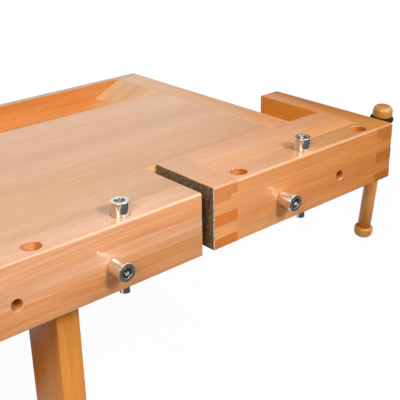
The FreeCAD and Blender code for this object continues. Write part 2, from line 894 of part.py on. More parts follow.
def front_nut_bracket():
    """The front screw's iron nut: a plate behind the front beam with a threaded boss."""
    plate = block(
        "front_plate",
        ("front_bracket_wide", "bracket_thick", "bracket_high"),
        (
            "chop_middle - front_bracket_wide / 2",
            "beam_back",
            "front_screw_level - front_plate_drop",
        ),
    )
    spot = ("chop_middle", "beam_back + boss_length", "front_screw_level")
    boss = rod("front_boss", "boss_dia", "boss_length", spot, FRONT)
    tools = [rod("front_nut_bore", "screw_dia + 2 * running_play", "boss_length", spot, FRONT)]
    for side in (-1, 1):
        hole = (
            f"chop_middle + {side} * front_bracket_pitch / 2",
            "beam_back",
            "front_screw_level",
        )
        tools.append(rod(f"front_plate_hole_{side + 1}", "bracket_bolt", "bracket_thick", hole, BACK))
    return cut("front_nut_bracket", fused("front_bracket_whole", [plate, boss]), tools)


def bracket_bolts():
    """Four short bolts that hold the two nut brackets."""
    bolts = []
    for side in (-1, 1):
        spot = bracket_bolt_spot(side, "slab_front - bracket_thick")
        bolts.append(hex_bolt(f"tail_bracket_bolt_{side + 1}", "bracket", spot, BACK))
        spot = (
            f"chop_middle + {side} * front_bracket_pitch / 2",
            "beam_back + bracket_thick",
            "front_screw_level",
        )
        bolts.append(hex_bolt(f"front_bracket_bolt_{side + 1}", "bracket", spot, FRONT))
    return grouped("bracket_bolts", bolts)


def hex_bolt(name, kind, spot, turn, length=None):
    """A hexagon bolt whose head's underside is at the spot and whose shank runs the given way."""
    across, high, shank = {
        "bracket": ("bracket_head_across", "bracket_head_high", "bracket_bolt"),
        "frame": ("bolt_head_across", "bolt_head_high", "bolt_dia"),
    }[kind]
    head = hexagon(f"{name}_head", across, high, ("0", "0", f"-({high})"))
    stem = rod(f"{name}_stem", shank, length or "bracket_bolt_long", ("0", "0", "0"))
    return place(fused(name, [head, stem]), spot, turn)


# ---------------------------------------------------------------- front vise
def front_vise():
    """The front vise's chop, its lining, and the two steel rods that keep it parallel."""
    size = ("chop_length", "chop_thick", "beam_height")
    spot = ("chop_middle - chop_length / 2", "chop_front", "beam_under")
    blank = top_edge_eased("chop_eased", block("chop_blank", size, spot))
    screw_hole = "screw_dia + 2 * screw_hole_play"
    centre = ("chop_middle", "chop_back", "front_screw_level")
    tools = [rod("chop_screw_hole", screw_hole, "chop_thick", centre, FRONT)]
    lining = block(
        "lining_blank",
        ("chop_length", "lining_thick", "beam_height"),
        ("chop_middle - chop_length / 2", "chop_back", "beam_under"),
    )
    lining_spot = ("chop_middle", "chop_back + lining_thick", "front_screw_level")
    lining_tools = [rod("lining_screw_hole", screw_hole, "lining_thick", lining_spot, FRONT)]
    rods = []
    for side in (-1, 1):
        x = f"chop_middle + {side} * rod_spread"
        length = "front + rod_tail - chop_back + rod_socket"
        level = "front_screw_level"
        end = (x, "front + rod_tail", level)
        rods.append(rod(f"guide_rod_{side + 1}", "rod_dia", length, end, FRONT))
        socket = (x, "chop_back", level)
        tools.append(rod(f"chop_rod_socket_{side + 1}", "rod_dia", "rod_socket", socket, FRONT))
        hole = (x, "chop_back + lining_thick", level)
        lining_tools.append(rod(f"lining_rod_hole_{side + 1}", "rod_dia", "lining_thick", hole, FRONT))
        seat_x = f"chop_middle + {side} * chop_dog_spread"
        tools += dog_hole(f"chop_hole_{side + 1}", seat_x, "(chop_front + chop_back) / 2")
    face = ("chop_middle", "chop_front", "front_screw_level")
    tools += flange_screw_drills("chop_pilot", face, BACK)
    chop = cut("front_chop", blank, tools)
    return chop, cut("chop_lining", lining, lining_tools), grouped("guide_rods", rods)


def rod_guides():
    """Two hardwood blocks under the slab, bored for the front vise's rods."""
    blocks = []
    for side in (-1, 1):
        x = f"chop_middle + {side} * rod_spread"
        depth = "front_screw_drop + rod_dia - slab_thick"
        blank = block(
            f"rod_block_blank_{side + 1}",
            ("rod_block", "rod_block", depth),
            (f"{x} - rod_block / 2", "beam_back", "front_screw_level - rod_dia"),
        )
        spot = (x, "beam_back + rod_block", "front_screw_level")
        drill = rod(
            f"rod_block_bore_{side + 1}", "rod_dia + 2 * running_play", "rod_block", spot, FRONT
        )
        blocks.append(cut(f"rod_block_{side + 1}", blank, [drill]))
    return grouped("rod_guide_blocks", blocks)


# ---------------------------------------------------------------- bench dogs
def dog(name, spot, turn, shank):
    """A round steel dog with a socket-head screw sunk in its face; Z points out of its hole."""
    head = "-dog_head_long"
    end = f"-dog_head_long - {shank}"
    bore = "cap_screw_dia / 2 + cap_screw_play"
    section = [
        ("dog_recess_dia / 2", "0"),
        ("dog_head_dia / 2 - dog_bevel", "0"),
        ("dog_head_dia / 2", "-dog_bevel"),
        ("dog_head_dia / 2", head),
        ("dog_shank_dia / 2", head),
        ("dog_shank_dia / 2", f"{end} + dog_bevel"),
        ("dog_shank_dia / 2 - dog_bevel", end),
        (bore, end),
        (bore, "-dog_recess_deep"),
        ("dog_recess_dia / 2", "-dog_recess_deep"),
    ]
    body = turned(name, section, spot, turn)
    section = [
        ("0", "-dog_bevel"),
        ("0", end),
        ("cap_screw_dia / 2", end),
        ("cap_screw_dia / 2", "-dog_recess_deep"),
        ("cap_screw_head / 2", "-dog_recess_deep"),
        ("cap_screw_head / 2", "-dog_bevel"),
    ]
    blank = turned(f"{name}_screw_blank", section)
    key = hexagon(f"{name}_key", "hex_key", "hex_deep", ("0", "0", "-dog_bevel - hex_deep"))
    screw = cut(f"{name}_screw", blank, [key])
    return body, place(screw, spot, turn)


def dogs():
    """The four dogs: one upright and one level in the beam, and the same in the tail vise."""
    upright = "bench_height + dog_rise"
    outward = "front - dog_head_long"
    made = []
    x = "jaw_face - beam_first_hole"
    made += dog("beam_top_dog", (x, "dog_line", upright), UP, "dog_shank_long")
    x = "vise_left + vise_first_hole + vise_hole_pitch"
    made += dog("vise_top_dog", (x, "dog_line", upright), UP, "dog_shank_long")
    x = "jaw_face - beam_side_first"
    made += dog("beam_side_dog", (x, outward, "side_hole_level"), FRONT, "dog_shank_short")
    x = "vise_left + vise_side_first"
    made += dog("vise_side_dog", (x, outward, "side_hole_level"), FRONT, "dog_shank_short")
    return made


# ---------------------------------------------------------------- trestles


def post(name, middle, y, outer, turn):
    """A trestle post with a tenon at each end and two bolt holes for its stretcher."""
    stick = block(
        f"{name}_stick",
        ("post_thick", "post_wide", "bearer_under - foot_top"),
        (f"{middle} - post_thick / 2", y, "foot_top"),
    )
    tenons = block(
        f"{name}_tenons",
        ("tenon_thick", "tenon_wide", "bearer_under - foot_top + 2 * tenon_long"),
        (
            f"{middle} - tenon_thick / 2",
            f"{y} + (post_wide - tenon_wide) / 2",
            "foot_top - tenon_long",
        ),
    )
    tools = []
    for row in range(2):
        spot = (outer, f"{y} + post_wide / 2", stretcher_bolt_level(row))
        tools.append(rod(f"{name}_hole_{row}", "bolt_dia + 2 * bolt_play", "post_thick", spot, turn))
    return cut(name, fused(f"{name}_whole", [stick, tenons]), tools)


def stretcher_bolt_level(row):
    """The level of a stretcher's lower or upper bolt."""
    return ("stretcher_level + bolt_margin", "stretcher_level + stretcher_high - bolt_margin")[row]


def mortises(name, middle, level):
    """The two tenon sockets of a foot or a bearer, as long as the tenons."""
    return [
        block(
            f"{name}_{number}",
            ("tenon_thick + 2 * glue_play", "tenon_wide + 2 * glue_play", "tenon_long"),
            (
                f"{middle} - tenon_thick / 2 - glue_play",
                f"{y} + (post_wide - tenon_wide) / 2 - glue_play",
                level,
            ),
        )
        for number, y in enumerate(("post_front", "post_back"))
    ]


def trestle(side, middle):
    """One trestle: foot, two posts and the bearer that the top is bolted to."""
    outer, turn = ((f"{middle} - post_thick / 2", RIGHT), (f"{middle} + post_thick / 2", LEFT))[
        side == "right"
    ]
    foot = block(
        f"{side}_foot_blank",
        ("foot_thick", "bench_depth - 2 * foot_inset", "foot_high"),
        (f"{middle} - foot_thick / 2", "front + foot_inset", "pad_high"),
    )
    bearer = block(
        f"{side}_bearer_blank",
        ("post_thick", "post_back + post_wide - post_front", "bearer_high"),
        (f"{middle} - post_thick / 2", "post_front", "bearer_under"),
    )
    tools = mortises(f"{side}_bearer_mortise", middle, "bearer_under")
    for row, y in enumerate(CAP_BOLTS):
        spot = (middle, y, "bearer_under")
        bore = "bolt_dia + 2 * bolt_play"
        tools.append(rod(f"{side}_bearer_bore_{row}", bore, "bearer_high", spot))
        tools.append(rod(f"{side}_bearer_seat_{row}", "bolt_seat_dia", "bearer_bolt_seat", spot))
    made = [
        cut(f"{side}_foot", foot, mortises(f"{side}_foot_mortise", middle, "foot_top - tenon_long")),
        cut(f"{side}_bearer", bearer, tools),
    ]
    for position, y in (("front", "post_front"), ("rear", "post_back")):
        made.append(post(f"{position}_{side}_post", middle, y, outer, turn))
    return made


def foot_pads():
    """Four pads under the ends of the feet."""
    pads = []
    for number, middle in enumerate(TRESTLES):
        for row, y in enumerate(("front + foot_inset", "back - foot_inset - pad_long")):
            spot = (f"{middle} - foot_thick / 2", y, "0")
            pads.append(block(f"pad_{number}{row}", ("foot_thick", "pad_long", "pad_high"), spot))
    return grouped("foot_pads", pads)


def stretcher(name, y):
    """A stretcher between the trestles, bored at both ends for bolts and barrel nuts."""
    start, end = (
        f"{TRESTLES[0]} + post_thick / 2",
        f"{TRESTLES[1]} - post_thick / 2",
    )
    board = block(
        f"{name}_board",
        (f"{end} - ({start})", "stretcher_thick", "stretcher_high"),
        (start, f"{y} + (post_wide - stretcher_thick) / 2", "stretcher_level"),
    )
    tools = []
    for number, (edge, turn, sign) in enumerate(((start, RIGHT, "+"), (end, LEFT, "-"))):
        for row in range(2):
            level = stretcher_bolt_level(row)
            tag = f"{name}_{number}{row}"
            spot = (edge, f"{y} + post_wide / 2", level)
            tools.append(
                rod(f"{tag}_bolt_bore", "bolt_dia + 2 * bolt_play", "bolt_reach + bolt_end_room", spot, turn)
            )
            spot = (f"{edge} {sign} barrel_back", f"{y} + (post_wide + stretcher_thick) / 2", level)
            barrel = "barrel_dia + 2 * barrel_play"
            tools.append(rod(f"{tag}_barrel_bore", barrel, "stretcher_thick", spot, FRONT))
    return cut(name, board, tools)


# ---------------------------------------------------------------- bolts and barrel nuts
def barrel_nut(name, spot, turn, bolt_turn):
    """A round cross nut, threaded for the bolt that passes through its middle."""
    blank = rod(f"{name}_blank", "barrel_dia", "barrel_long", ("0", "0", "-barrel_long / 2"))
    thread = rod(f"{name}_thread", "bolt_dia + 2 * running_play", "barrel_dia", ("-barrel_dia / 2", "0", "0"))
    thread.Placement.Rotation = TURNS[bolt_turn]
    return place(cut(name, blank, [thread]), spot, turn)


def frame_bolts():
    """The long bolts: sixteen alike, in the end caps, stretchers and bearers, and the barrel nuts."""
    bolts = []
    nuts = []
    length = "post_thick + bolt_reach"
    level = "slab_under + slab_thick / 2"
    caps = (
        ("left + bolt_seat_deep", "cap_inner_left", RIGHT, "+"),
        ("right - bolt_seat_deep", "cap_inner_right", LEFT, "-"),
    )
    for number, (seat, edge, turn, sign) in enumerate(caps):
        for row, y in enumerate(CAP_BOLTS):
            bolts.append(hex_bolt(f"cap_bolt_{number}{row}", "frame", (seat, y, level), turn, length))
            spot = (f"{edge} {sign} barrel_back", y, level)
            nuts.append(barrel_nut(f"cap_nut_{number}{row}", spot, UP, RIGHT))
    ends = (
        (f"{TRESTLES[0]} - post_thick / 2", f"{TRESTLES[0]} + post_thick / 2", RIGHT, "+"),
        (f"{TRESTLES[1]} + post_thick / 2", f"{TRESTLES[1]} - post_thick / 2", LEFT, "-"),
    )
    for number, (seat, edge, turn, sign) in enumerate(ends):
        for column, y in enumerate(("post_front + post_wide / 2", "post_back + post_wide / 2")):
            for row in range(2):
                height = stretcher_bolt_level(row)
                tag = f"{number}{column}{row}"
                bolts.append(
                    hex_bolt(f"stretcher_bolt_{tag}", "frame", (seat, y, height), turn, length)
                )
                spot = (f"{edge} {sign} barrel_back", y, height)
                nuts.append(barrel_nut(f"stretcher_nut_{tag}", spot, FRONT, RIGHT))
    for number, middle in enumerate(TRESTLES):
        for row, y in enumerate(CAP_BOLTS):
            spot = (middle, y, "bearer_under + bearer_bolt_seat")
            bolts.append(hex_bolt(f"bearer_bolt_{number}{row}", "frame", spot, UP, length))
    return grouped("long_bolts", bolts), grouped("barrel_nuts", nuts)


# ---------------------------------------------------------------- the whole bench
def screw(name, length, spot, turn):
    """A vise screw, drawn at the outside diameter of its thread."""
    return rod(name, "screw_dia", length, spot, turn)


def tilt(angle):
    """The lean of a tommy bar about its screw's axis."""
    return FreeCAD.Rotation(FreeCAD.Vector(1, 0, 0), angle)


nodes = [
    front_beam(),
    *slab(),
    end_cap("left_end_cap", "left", "beam_back", "left", RIGHT),
    end_cap("right_end_cap", "cap_inner_right", "slab_front", "right", LEFT),
    *tray(),
    *tail_guides(),
    tail_nut_bracket(),
    front_nut_bracket(),
    bracket_bolts(),
    rod_guides(),
    vise_front_board(),
    vise_jaw_block(),
    vise_end_board(),
    *vise_shell(),
    *flange("tail_flange", ("vise_right", "tail_screw_line", "tail_screw_level"), RIGHT, LEFT),
    screw(
        "tail_screw",
        "vise_length - tail_screw_start + bar_offset - bar_dia / 2 - eye_wall",
        ("vise_left + tail_screw_start", "tail_screw_line", "tail_screw_level"),
        RIGHT,
    ),
    *handle(
        "tail",
        ("vise_right + bar_offset", "tail_screw_line", "tail_screw_level"),
        tilt(sheet.tail_tilt),
    ),
    *front_vise(),
    *flange("front_flange", ("chop_middle", "chop_front", "front_screw_level"), FRONT, BACK),
    screw(
        "front_screw",
        "front + front_screw_tail - chop_front + bar_offset - bar_dia / 2 - eye_wall",
        ("chop_middle", "front + front_screw_tail", "front_screw_level"),
        FRONT,
    ),
    *handle(
        "front",
        ("chop_middle", "chop_front - bar_offset", "front_screw_level"),
        FreeCAD.Rotation(FreeCAD.Vector(0, 0, 1), -90).multiply(tilt(sheet.front_tilt)),
    ),
    *dogs(),
    *trestle("left", TRESTLES[0]),
    *trestle("right", TRESTLES[1]),
    foot_pads(),
    stretcher("front_stretcher", "post_front"),
    stretcher("rear_stretcher", "post_back"),
    *frame_bolts(),
]
doc.recompute()

failed = [item.Name for item in doc.Objects if {"Invalid", "Error"} & set(item.State)]
for node in nodes:
    node.Label = node.Name
    if node.Shape.isNull() or not node.Shape.isValid():
        failed.append(node.Label)
if failed:
    raise RuntimeError(f"not built: {failed}")

os.makedirs("parts", exist_ok=True)
for node in nodes:
    node.Shape.exportStep(f"parts/{node.Label}.step")
print(len(nodes), "nodes")
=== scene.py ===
"""Looks of a joiner's workbench of steamed beech with a tail vise, a front vise and round steel dogs.

Metres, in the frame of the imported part: X along the bench, Y towards the tray, Z up from the floor.
"""

import math

import bmesh
import bpy
import numpy as np
from mathutils import Matrix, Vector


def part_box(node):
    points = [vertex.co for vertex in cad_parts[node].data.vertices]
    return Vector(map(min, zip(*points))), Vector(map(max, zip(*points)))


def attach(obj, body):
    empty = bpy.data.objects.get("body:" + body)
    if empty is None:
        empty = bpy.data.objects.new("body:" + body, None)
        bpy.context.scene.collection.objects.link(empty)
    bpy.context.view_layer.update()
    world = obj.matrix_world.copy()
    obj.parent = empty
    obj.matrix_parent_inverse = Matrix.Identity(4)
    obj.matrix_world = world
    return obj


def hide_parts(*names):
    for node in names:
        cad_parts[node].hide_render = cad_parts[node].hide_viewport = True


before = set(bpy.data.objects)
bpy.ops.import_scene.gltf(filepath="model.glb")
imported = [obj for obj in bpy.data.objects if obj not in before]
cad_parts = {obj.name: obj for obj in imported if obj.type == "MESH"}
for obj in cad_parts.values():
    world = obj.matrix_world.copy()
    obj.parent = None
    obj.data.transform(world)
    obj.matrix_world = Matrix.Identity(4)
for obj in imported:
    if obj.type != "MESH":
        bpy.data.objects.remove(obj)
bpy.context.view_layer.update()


# ---------------------------------------------------------------- bench top
# The core of the top is glued up from beech staves that run along the bench, sanded and lacquered to
# a satin sheen; the front beam and the stave beside it are glued to the core, and nothing shows of
# the joints but thin lines. Every timber is planed square and its free arrises are eased by hand.
# Light and shade are also painted into the beech colours: sheen on top faces, highlights on rounded
# arrises, paler and darker patches.
SLAB_TONE = (0.70, 0.340, 0.155)
# Painted light: the back half of the slab is painted paler, standing in for the sheen and light there.
SLAB_BACK_PAINTED_LIGHT = (1.36, 1.43, 1.48)
SLAB_MIDDLE = 0.45
# Painted light: the slab's front face, seen in the notch beside the jaw, is painted paler as if lit.
SLAB_FRONT_PAINTED_LIGHT = (1.32, 1.45, 1.62)
STAVE_TONE = (0.95, 0.62, 0.42)
# Painted shade: the top faces of the front stave are painted darker.
STAVE_TOP_PAINTED_SHADE = (0.79, 0.60, 0.41)
BEAM_TONE = (0.77, 0.385, 0.198)
# Painted sheen on the top faces of the front beam.
BEAM_TOP_SHEEN = (0.99, 1.10, 1.28)
# Painted light: the front beam is painted paler towards its right end.
BEAM_RIGHT_PAINTED_LIGHT = (1.08, 1.04, 0.98)
BEAM_RIGHT_LIGHT_RUN = (0.25, 0.40)
BEAM_COURSES = (0.8245, 0.787)
UPPER_COURSE = (1.0, 0.86, 0.70)
LOWER_COURSE = (0.93, 0.77, 0.54)
LOWER_RUN = (0.022, -0.006)
SATIN = {"roughness": 0.36, "Coat_Weight": 0.2, "Coat_Roughness": 0.25}
FRONT_LACQUER = {"Coat_Weight": 0.7, "Coat_Roughness": 0.22}
STAVE = -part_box("bench_slab")[0].y / 2
PIN_KNOT = (0.6258, -0.0864)
PIN_KNOT_TONE = (0.22, 0.09, 0.035)
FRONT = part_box("front_beam")[0].y
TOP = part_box("front_beam")[1].z
ARRIS = 0.0009
THIN_ARRIS = 0.0003
FRONT_ARRIS = 0.0042
SHORT_EDGE = 0.006
SQUARE = math.radians(70)
ROUNDED = math.radians(24)
LEVEL = math.radians(0.4)
TOUCH = 1e-5
ON_LINE = 1e-4
BESIDE = 0.0012
EDGE_LINE = 0.0002
ACROSS = (0.0, 1.0, 0.0)
UPWARD = (0.0, 0.0, 1.0)

# Beech: the tints of its parts, and how many times a metre each noise changes along and across it.
LATE_WOOD = (0.82, 0.72, 0.58)
EARLY_WOOD = (1.12, 1.20, 1.34)
BLUSH = (1.05, 1.15, 1.27, 1.0)
FLECK = (0.62, 0.42, 0.28, 1.0)
GLUE = (0.55, 0.38, 0.26, 1.0)
END_GRAIN = (0.80, 0.58, 0.34)
# A painted highlight, laid on rounded arrises that face up and to the front or back.
ARRIS_HIGHLIGHT = (0.91, 1.14, 1.50, 1.0)
SWAYS = (2.4, 7.0, 7.0)
BROAD_FIGURE = (1.6, 36.0, 36.0)
GROWTH_LINES = (5.0, 230.0, 230.0)
FIBRES = (60.0, 900.0, 900.0)
WARM_PATCHES = (1.4, 13.0, 13.0)
FLECKS = (240.0, 1500.0, 1500.0)
PORES = (500.0, 500.0, 500.0)
SIDE_SWAY = 0.020
DEEP_SWAY = 0.050
STAVE_SHIFT = 7.0
COURSE_STEP = 17.0
GLUE_LINE = (0.0002, 0.0009)


def add(tree, kind, inputs=None, **settings):
    """A shader node; inputs maps a socket to a constant or to another node's output."""
    node = tree.nodes.new(f"ShaderNode{kind}")
    for name, value in settings.items():
        setattr(node, name, value)
    for socket, value in (inputs or {}).items():
        if isinstance(value, bpy.types.NodeSocket):
            tree.links.new(value, node.inputs[socket])
        else:
            node.inputs[socket].default_value = value
    return node


def calc(tree, operation, *terms):
    """The output of a Math node on numbers or sockets."""
    return add(tree, "Math", dict(enumerate(terms)), operation=operation).outputs[0]


def vector(tree, operation, first, second):
    """The vector output of a Vector Math node."""
    return add(tree, "VectorMath", {0: first, 1: second}, operation=operation).outputs[0]


def dotted(tree, first, way):
    """How far a vector reaches along a constant way."""
    return add(tree, "VectorMath", {0: first, 1: way}, operation="DOT_PRODUCT").outputs["Value"]


def noise(tree, point, scale, detail=2.0, roughness=0.5):
    """Noise of about 0 to 1 on a point stretched by a scale per axis."""
    stretched = vector(tree, "MULTIPLY", point, scale)
    inputs = {"Vector": stretched, "Scale": 1.0, "Detail": detail, "Roughness": roughness}
    return add(tree, "TexNoise", inputs).outputs[0]


def mixed(tree, factor, first, second, blend="MIX"):
    """The colour output of a Mix node."""
    inputs = {0: factor, 6: first, 7: second}
    return add(tree, "Mix", inputs, data_type="RGBA", blend_type=blend).outputs[2]


def ranged(tree, value, low, high, to_low=0.0, to_high=1.0, smooth=False):
    """A value carried from one range to another and held inside it."""
    inputs = {0: value, 1: low, 2: high, 3: to_low, 4: to_high}
    kind = "SMOOTHSTEP" if smooth else "LINEAR"
    return add(tree, "MapRange", inputs, interpolation_type=kind).outputs[0]


def shaded(colour, *shades):
    """A colour multiplied by one shade, or by one for each part, with its alpha."""
    factors = shades * 3 if len(shades) == 1 else shades
    return tuple(min(1.0, part * shade) for part, shade in zip(colour, factors)) + (1.0,)


def shader_of(material):
    """The Principled shader of a material."""
    return next(node for node in material.node_tree.nodes if node.type == "BSDF_PRINCIPLED")


def finish(material, **constants):
    """Set constants of a material's shader; an underscore in a socket's name stands for a space."""
    shader = shader_of(material)
    for socket, value in constants.items():
        shader.inputs[socket.replace("_", " ")].default_value = value


def surface(name, roughness=0.5, metallic=0.0, **constants):
    """A new material with one Principled shader; gives the material, its tree and the shader."""
    material = bpy.data.materials.new(name)
    material.use_nodes = True
    finish(material, Roughness=roughness, Metallic=metallic, **constants)
    return material, material.node_tree, shader_of(material)


def bumped(tree, shader, height, strength, distance):
    """Raise and sink a shader's surface by a height."""
    bump = add(tree, "Bump", {"Strength": strength, "Distance": distance, "Height": height})
    tree.links.new(bump.outputs[0], shader.inputs["Normal"])


def glued_up(tree, side, height, stave, courses, seed):
    """A number for each stave and course, and a share that is 1 on the lines between courses."""
    number, lines = seed, 0.0
    if stave:
        number = calc(tree, "ADD", calc(tree, "FLOOR", calc(tree, "DIVIDE", side, stave)), seed)
    for level in courses:
        above = calc(tree, "GREATER_THAN", height, level)
        number = calc(tree, "ADD", number, calc(tree, "MULTIPLY", above, COURSE_STEP))
        gap = calc(tree, "ABSOLUTE", calc(tree, "SUBTRACT", height, level))
        lines = calc(tree, "ADD", lines, ranged(tree, gap, *GLUE_LINE, 1.0, 0.0))
    return number, lines


def beech(
    name, grain, colour, stave=None, courses=(), seed=0.0, end_tint=END_GRAIN, figure=1.0, slope=None,
    axis=None, top=None,
):
    """Steamed beech whose grain runs along one axis.

    The tone of a stave is a random number of its place across the grain and of its course in height.
    On it lie three noises drawn out along the grain: broad figure, growth lines and fibre, with short
    dark flecks. Where the surface faces along the grain, the tint of end grain is laid over. A slope
    is a middle and a rise per metre away from it: depth is then counted from that sloping face. On a
    turned piece the axis is given, and the place comes from the piece's own 'turned_place'. The
    top tint is painted light on faces that look up: a painted sheen where it is paler, painted shade
    where it is darker. A rounded arris between a top and a front or back face is painted paler, as a
    painted highlight.
    """
    material, tree, shader = surface(name, **SATIN)
    place = add(tree, "TexCoord")
    spot = place.outputs["Object"]
    if axis:
        spot = add(tree, "Attribute", attribute_name="turned_place").outputs["Vector"]
    x, y, z = add(tree, "SeparateXYZ", {0: spot}).outputs
    if slope:
        middle, rise = slope
        away = calc(tree, "ABSOLUTE", calc(tree, "SUBTRACT", x, middle))
        z = calc(tree, "SUBTRACT", z, calc(tree, "MULTIPLY", away, rise))
    along, side, depth = {"X": (x, y, z), "Y": (y, x, z), "Z": (z, x, y)}[grain]

    number, lines = glued_up(tree, side, z, stave, courses, seed)
    chance = add(tree, "TexWhiteNoise", {"W": number}, noise_dimensions="1D").outputs[0]
    shifted = calc(tree, "ADD", along, calc(tree, "MULTIPLY", chance, STAVE_SHIFT))
    point = add(tree, "CombineXYZ", {0: shifted, 1: side, 2: depth}).outputs[0]
    sway = noise(tree, point, SWAYS, 1.0)
    bent = calc(tree, "ADD", side, calc(tree, "MULTIPLY", sway, SIDE_SWAY))
    deep = calc(tree, "ADD", depth, calc(tree, "MULTIPLY", sway, DEEP_SWAY))
    wavy = add(tree, "CombineXYZ", {0: shifted, 1: bent, 2: deep}).outputs[0]
    broad = noise(tree, wavy, BROAD_FIGURE, 3.0)
    growth = noise(tree, wavy, GROWTH_LINES, 2.5, 0.55)
    fibre = noise(tree, point, FIBRES, 2.0, 0.6)
    warm = noise(tree, point, WARM_PATCHES, 1.0)
    fleck = ranged(tree, noise(tree, point, FLECKS, 1.0), 0.62, 0.70)

    tone = 0.5
    for value, share in ((broad, 0.75 * figure), (growth, 1.15 * figure), (fibre, 0.6), (chance, 0.16)):
        centred = calc(tree, "MULTIPLY", calc(tree, "SUBTRACT", value, 0.5), share)
        tone = calc(tree, "ADD", tone, centred)
    wood = mixed(tree, tone, shaded(colour, *LATE_WOOD), shaded(colour, *EARLY_WOOD))
    wood = mixed(tree, ranged(tree, warm, 0.42, 0.64), wood, BLUSH, "MULTIPLY")
    wood = mixed(tree, calc(tree, "MULTIPLY", fleck, 0.3), wood, FLECK, "MULTIPLY")
    if courses:
        wood = mixed(tree, calc(tree, "MULTIPLY", lines, 0.25), wood, GLUE, "MULTIPLY")

    normal = place.outputs["Normal"]
    facing = dotted(tree, normal, axis or tuple(float(grain == letter) for letter in "XYZ"))
    end = ranged(tree, calc(tree, "ABSOLUTE", facing), 0.55, 0.85, smooth=True)
    pores = ranged(tree, noise(tree, place.outputs["Object"], PORES, 2.0, 0.7), 0.3, 0.7)
    tint = mixed(tree, pores, shaded(end_tint, 0.9), shaded(end_tint, 1.08))
    flat = mixed(tree, 0.65, wood, shaded(colour, 1.0))
    wood = mixed(tree, end, wood, mixed(tree, 1.0, flat, tint, "MULTIPLY"))
    _, back, up = add(tree, "SeparateXYZ", {0: normal}).outputs
    # Painted highlight: rounded arrises between a top and a front or back face are made paler.
    rounding = ranged(tree, calc(tree, "MULTIPLY", up, calc(tree, "ABSOLUTE", back)), 0.15, 0.42)
    wood = mixed(tree, rounding, wood, ARRIS_HIGHLIGHT, "MULTIPLY")
    # Painted light: faces that look up take the top tint.
    if top:
        wood = mixed(tree, ranged(tree, up, 0.5, 0.95), wood, (*top, 1.0), "MULTIPLY")
    tree.links.new(wood, shader.inputs["Base Color"])
    tree.links.new(ranged(tree, growth, 0.3, 0.7, 0.32, 0.42), shader.inputs["Roughness"])
    height = calc(tree, "ADD", calc(tree, "MULTIPLY", fibre, 0.5), calc(tree, "MULTIPLY", growth, 0.5))
    bumped(tree, shader, height, 0.12, 0.0003)
    return material


def overlaid(material, share, tint, blend="MULTIPLY"):
    """Lay a tint over a material's own colour, by a share from 0 to 1."""
    tree = material.node_tree
    socket = shader_of(material).inputs["Base Color"]
    tree.links.new(mixed(tree, share, socket.links[0].from_socket, (*tint, 1.0), blend), socket)


def drift(material, tint, start, stop, weights=(1.0, 0.0, 0.0), middle=0.0):
    """Carry a tint into a colour between two values of w0 |x - middle| + w1 y + w2 z."""
    tree = material.node_tree
    x, y, z = add(tree, "SeparateXYZ", {0: add(tree, "TexCoord").outputs["Object"]}).outputs
    x = calc(tree, "ABSOLUTE", calc(tree, "SUBTRACT", x, middle))
    place = dotted(tree, add(tree, "CombineXYZ", {0: x, 1: y, 2: z}).outputs[0], weights)
    low, high = sorted((start, stop))
    share = ranged(tree, place, low, high, float(start > stop), float(start < stop), smooth=True)
    overlaid(material, share, tint)


def pin_knot(material, spot):
    """A small dark fleck in the top, drawn out along the grain."""
    tree = material.node_tree
    away = vector(tree, "SUBTRACT", add(tree, "TexCoord").outputs["Object"], (*spot, TOP))
    drawn = vector(tree, "MULTIPLY", away, (0.16, 1.0, 0.2))
    length = add(tree, "VectorMath", {0: drawn}, operation="LENGTH").outputs["Value"]
    overlaid(material, ranged(tree, length, 0.0006, 0.0016, 0.55, 0.0), PIN_KNOT_TONE, "MIX")


# The timbers of each body, so that an arris is only eased where no other one of them lies beside it.
TIMBERS = {
    "bench": (
        "front_beam", "bench_slab", "slab_front_stave", "fixed_jaw_block", "left_end_cap",
        "right_end_cap", "rear_rail", "left_foot", "left_bearer", "front_left_post", "rear_left_post",
        "right_foot", "right_bearer", "front_right_post", "rear_right_post", "front_stretcher",
        "rear_stretcher",
    ),
    "tail_vise": (
        "vise_front_board", "vise_jaw_block", "vise_end_board", "vise_top_plate", "vise_back_rail",
    ),
    "front_vise": ("front_chop",),
}
BODY = {node: body for body, nodes in TIMBERS.items() for node in nodes}
BOXES = {node: tuple(np.array(corner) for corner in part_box(node)) for node in BODY}


def filled(node, spot):
    """Whether another timber of the same body fills a spot beside a node."""
    others = (BOXES[name] for name in TIMBERS[BODY[node]] if name != node)
    return any(np.all(spot > low - TOUCH) and np.all(spot < high + TOUCH) for low, high in others)


def free_arrises(solid, node, front):
    """Square convex arrises with no other timber beside them, on the front top line or off it."""
    for edge in solid.edges:
        if len(edge.link_faces) != 2 or not edge.is_convex or edge.calc_length() < SHORT_EDGE:
            continue
        on_front = all(abs(vert.co.y - FRONT) + abs(vert.co.z - TOP) < ON_LINE for vert in edge.verts)
        if edge.calc_face_angle() < SQUARE or on_front != front:
            continue
        one, two = (np.array(face.normal) for face in edge.link_faces)
        middle = (np.array(edge.verts[0].co) + np.array(edge.verts[1].co)) / 2
        spots = (middle + BESIDE * (one - two), middle + BESIDE * (two - one))
        if not any(filled(node, spot) for spot in spots):
            yield edge


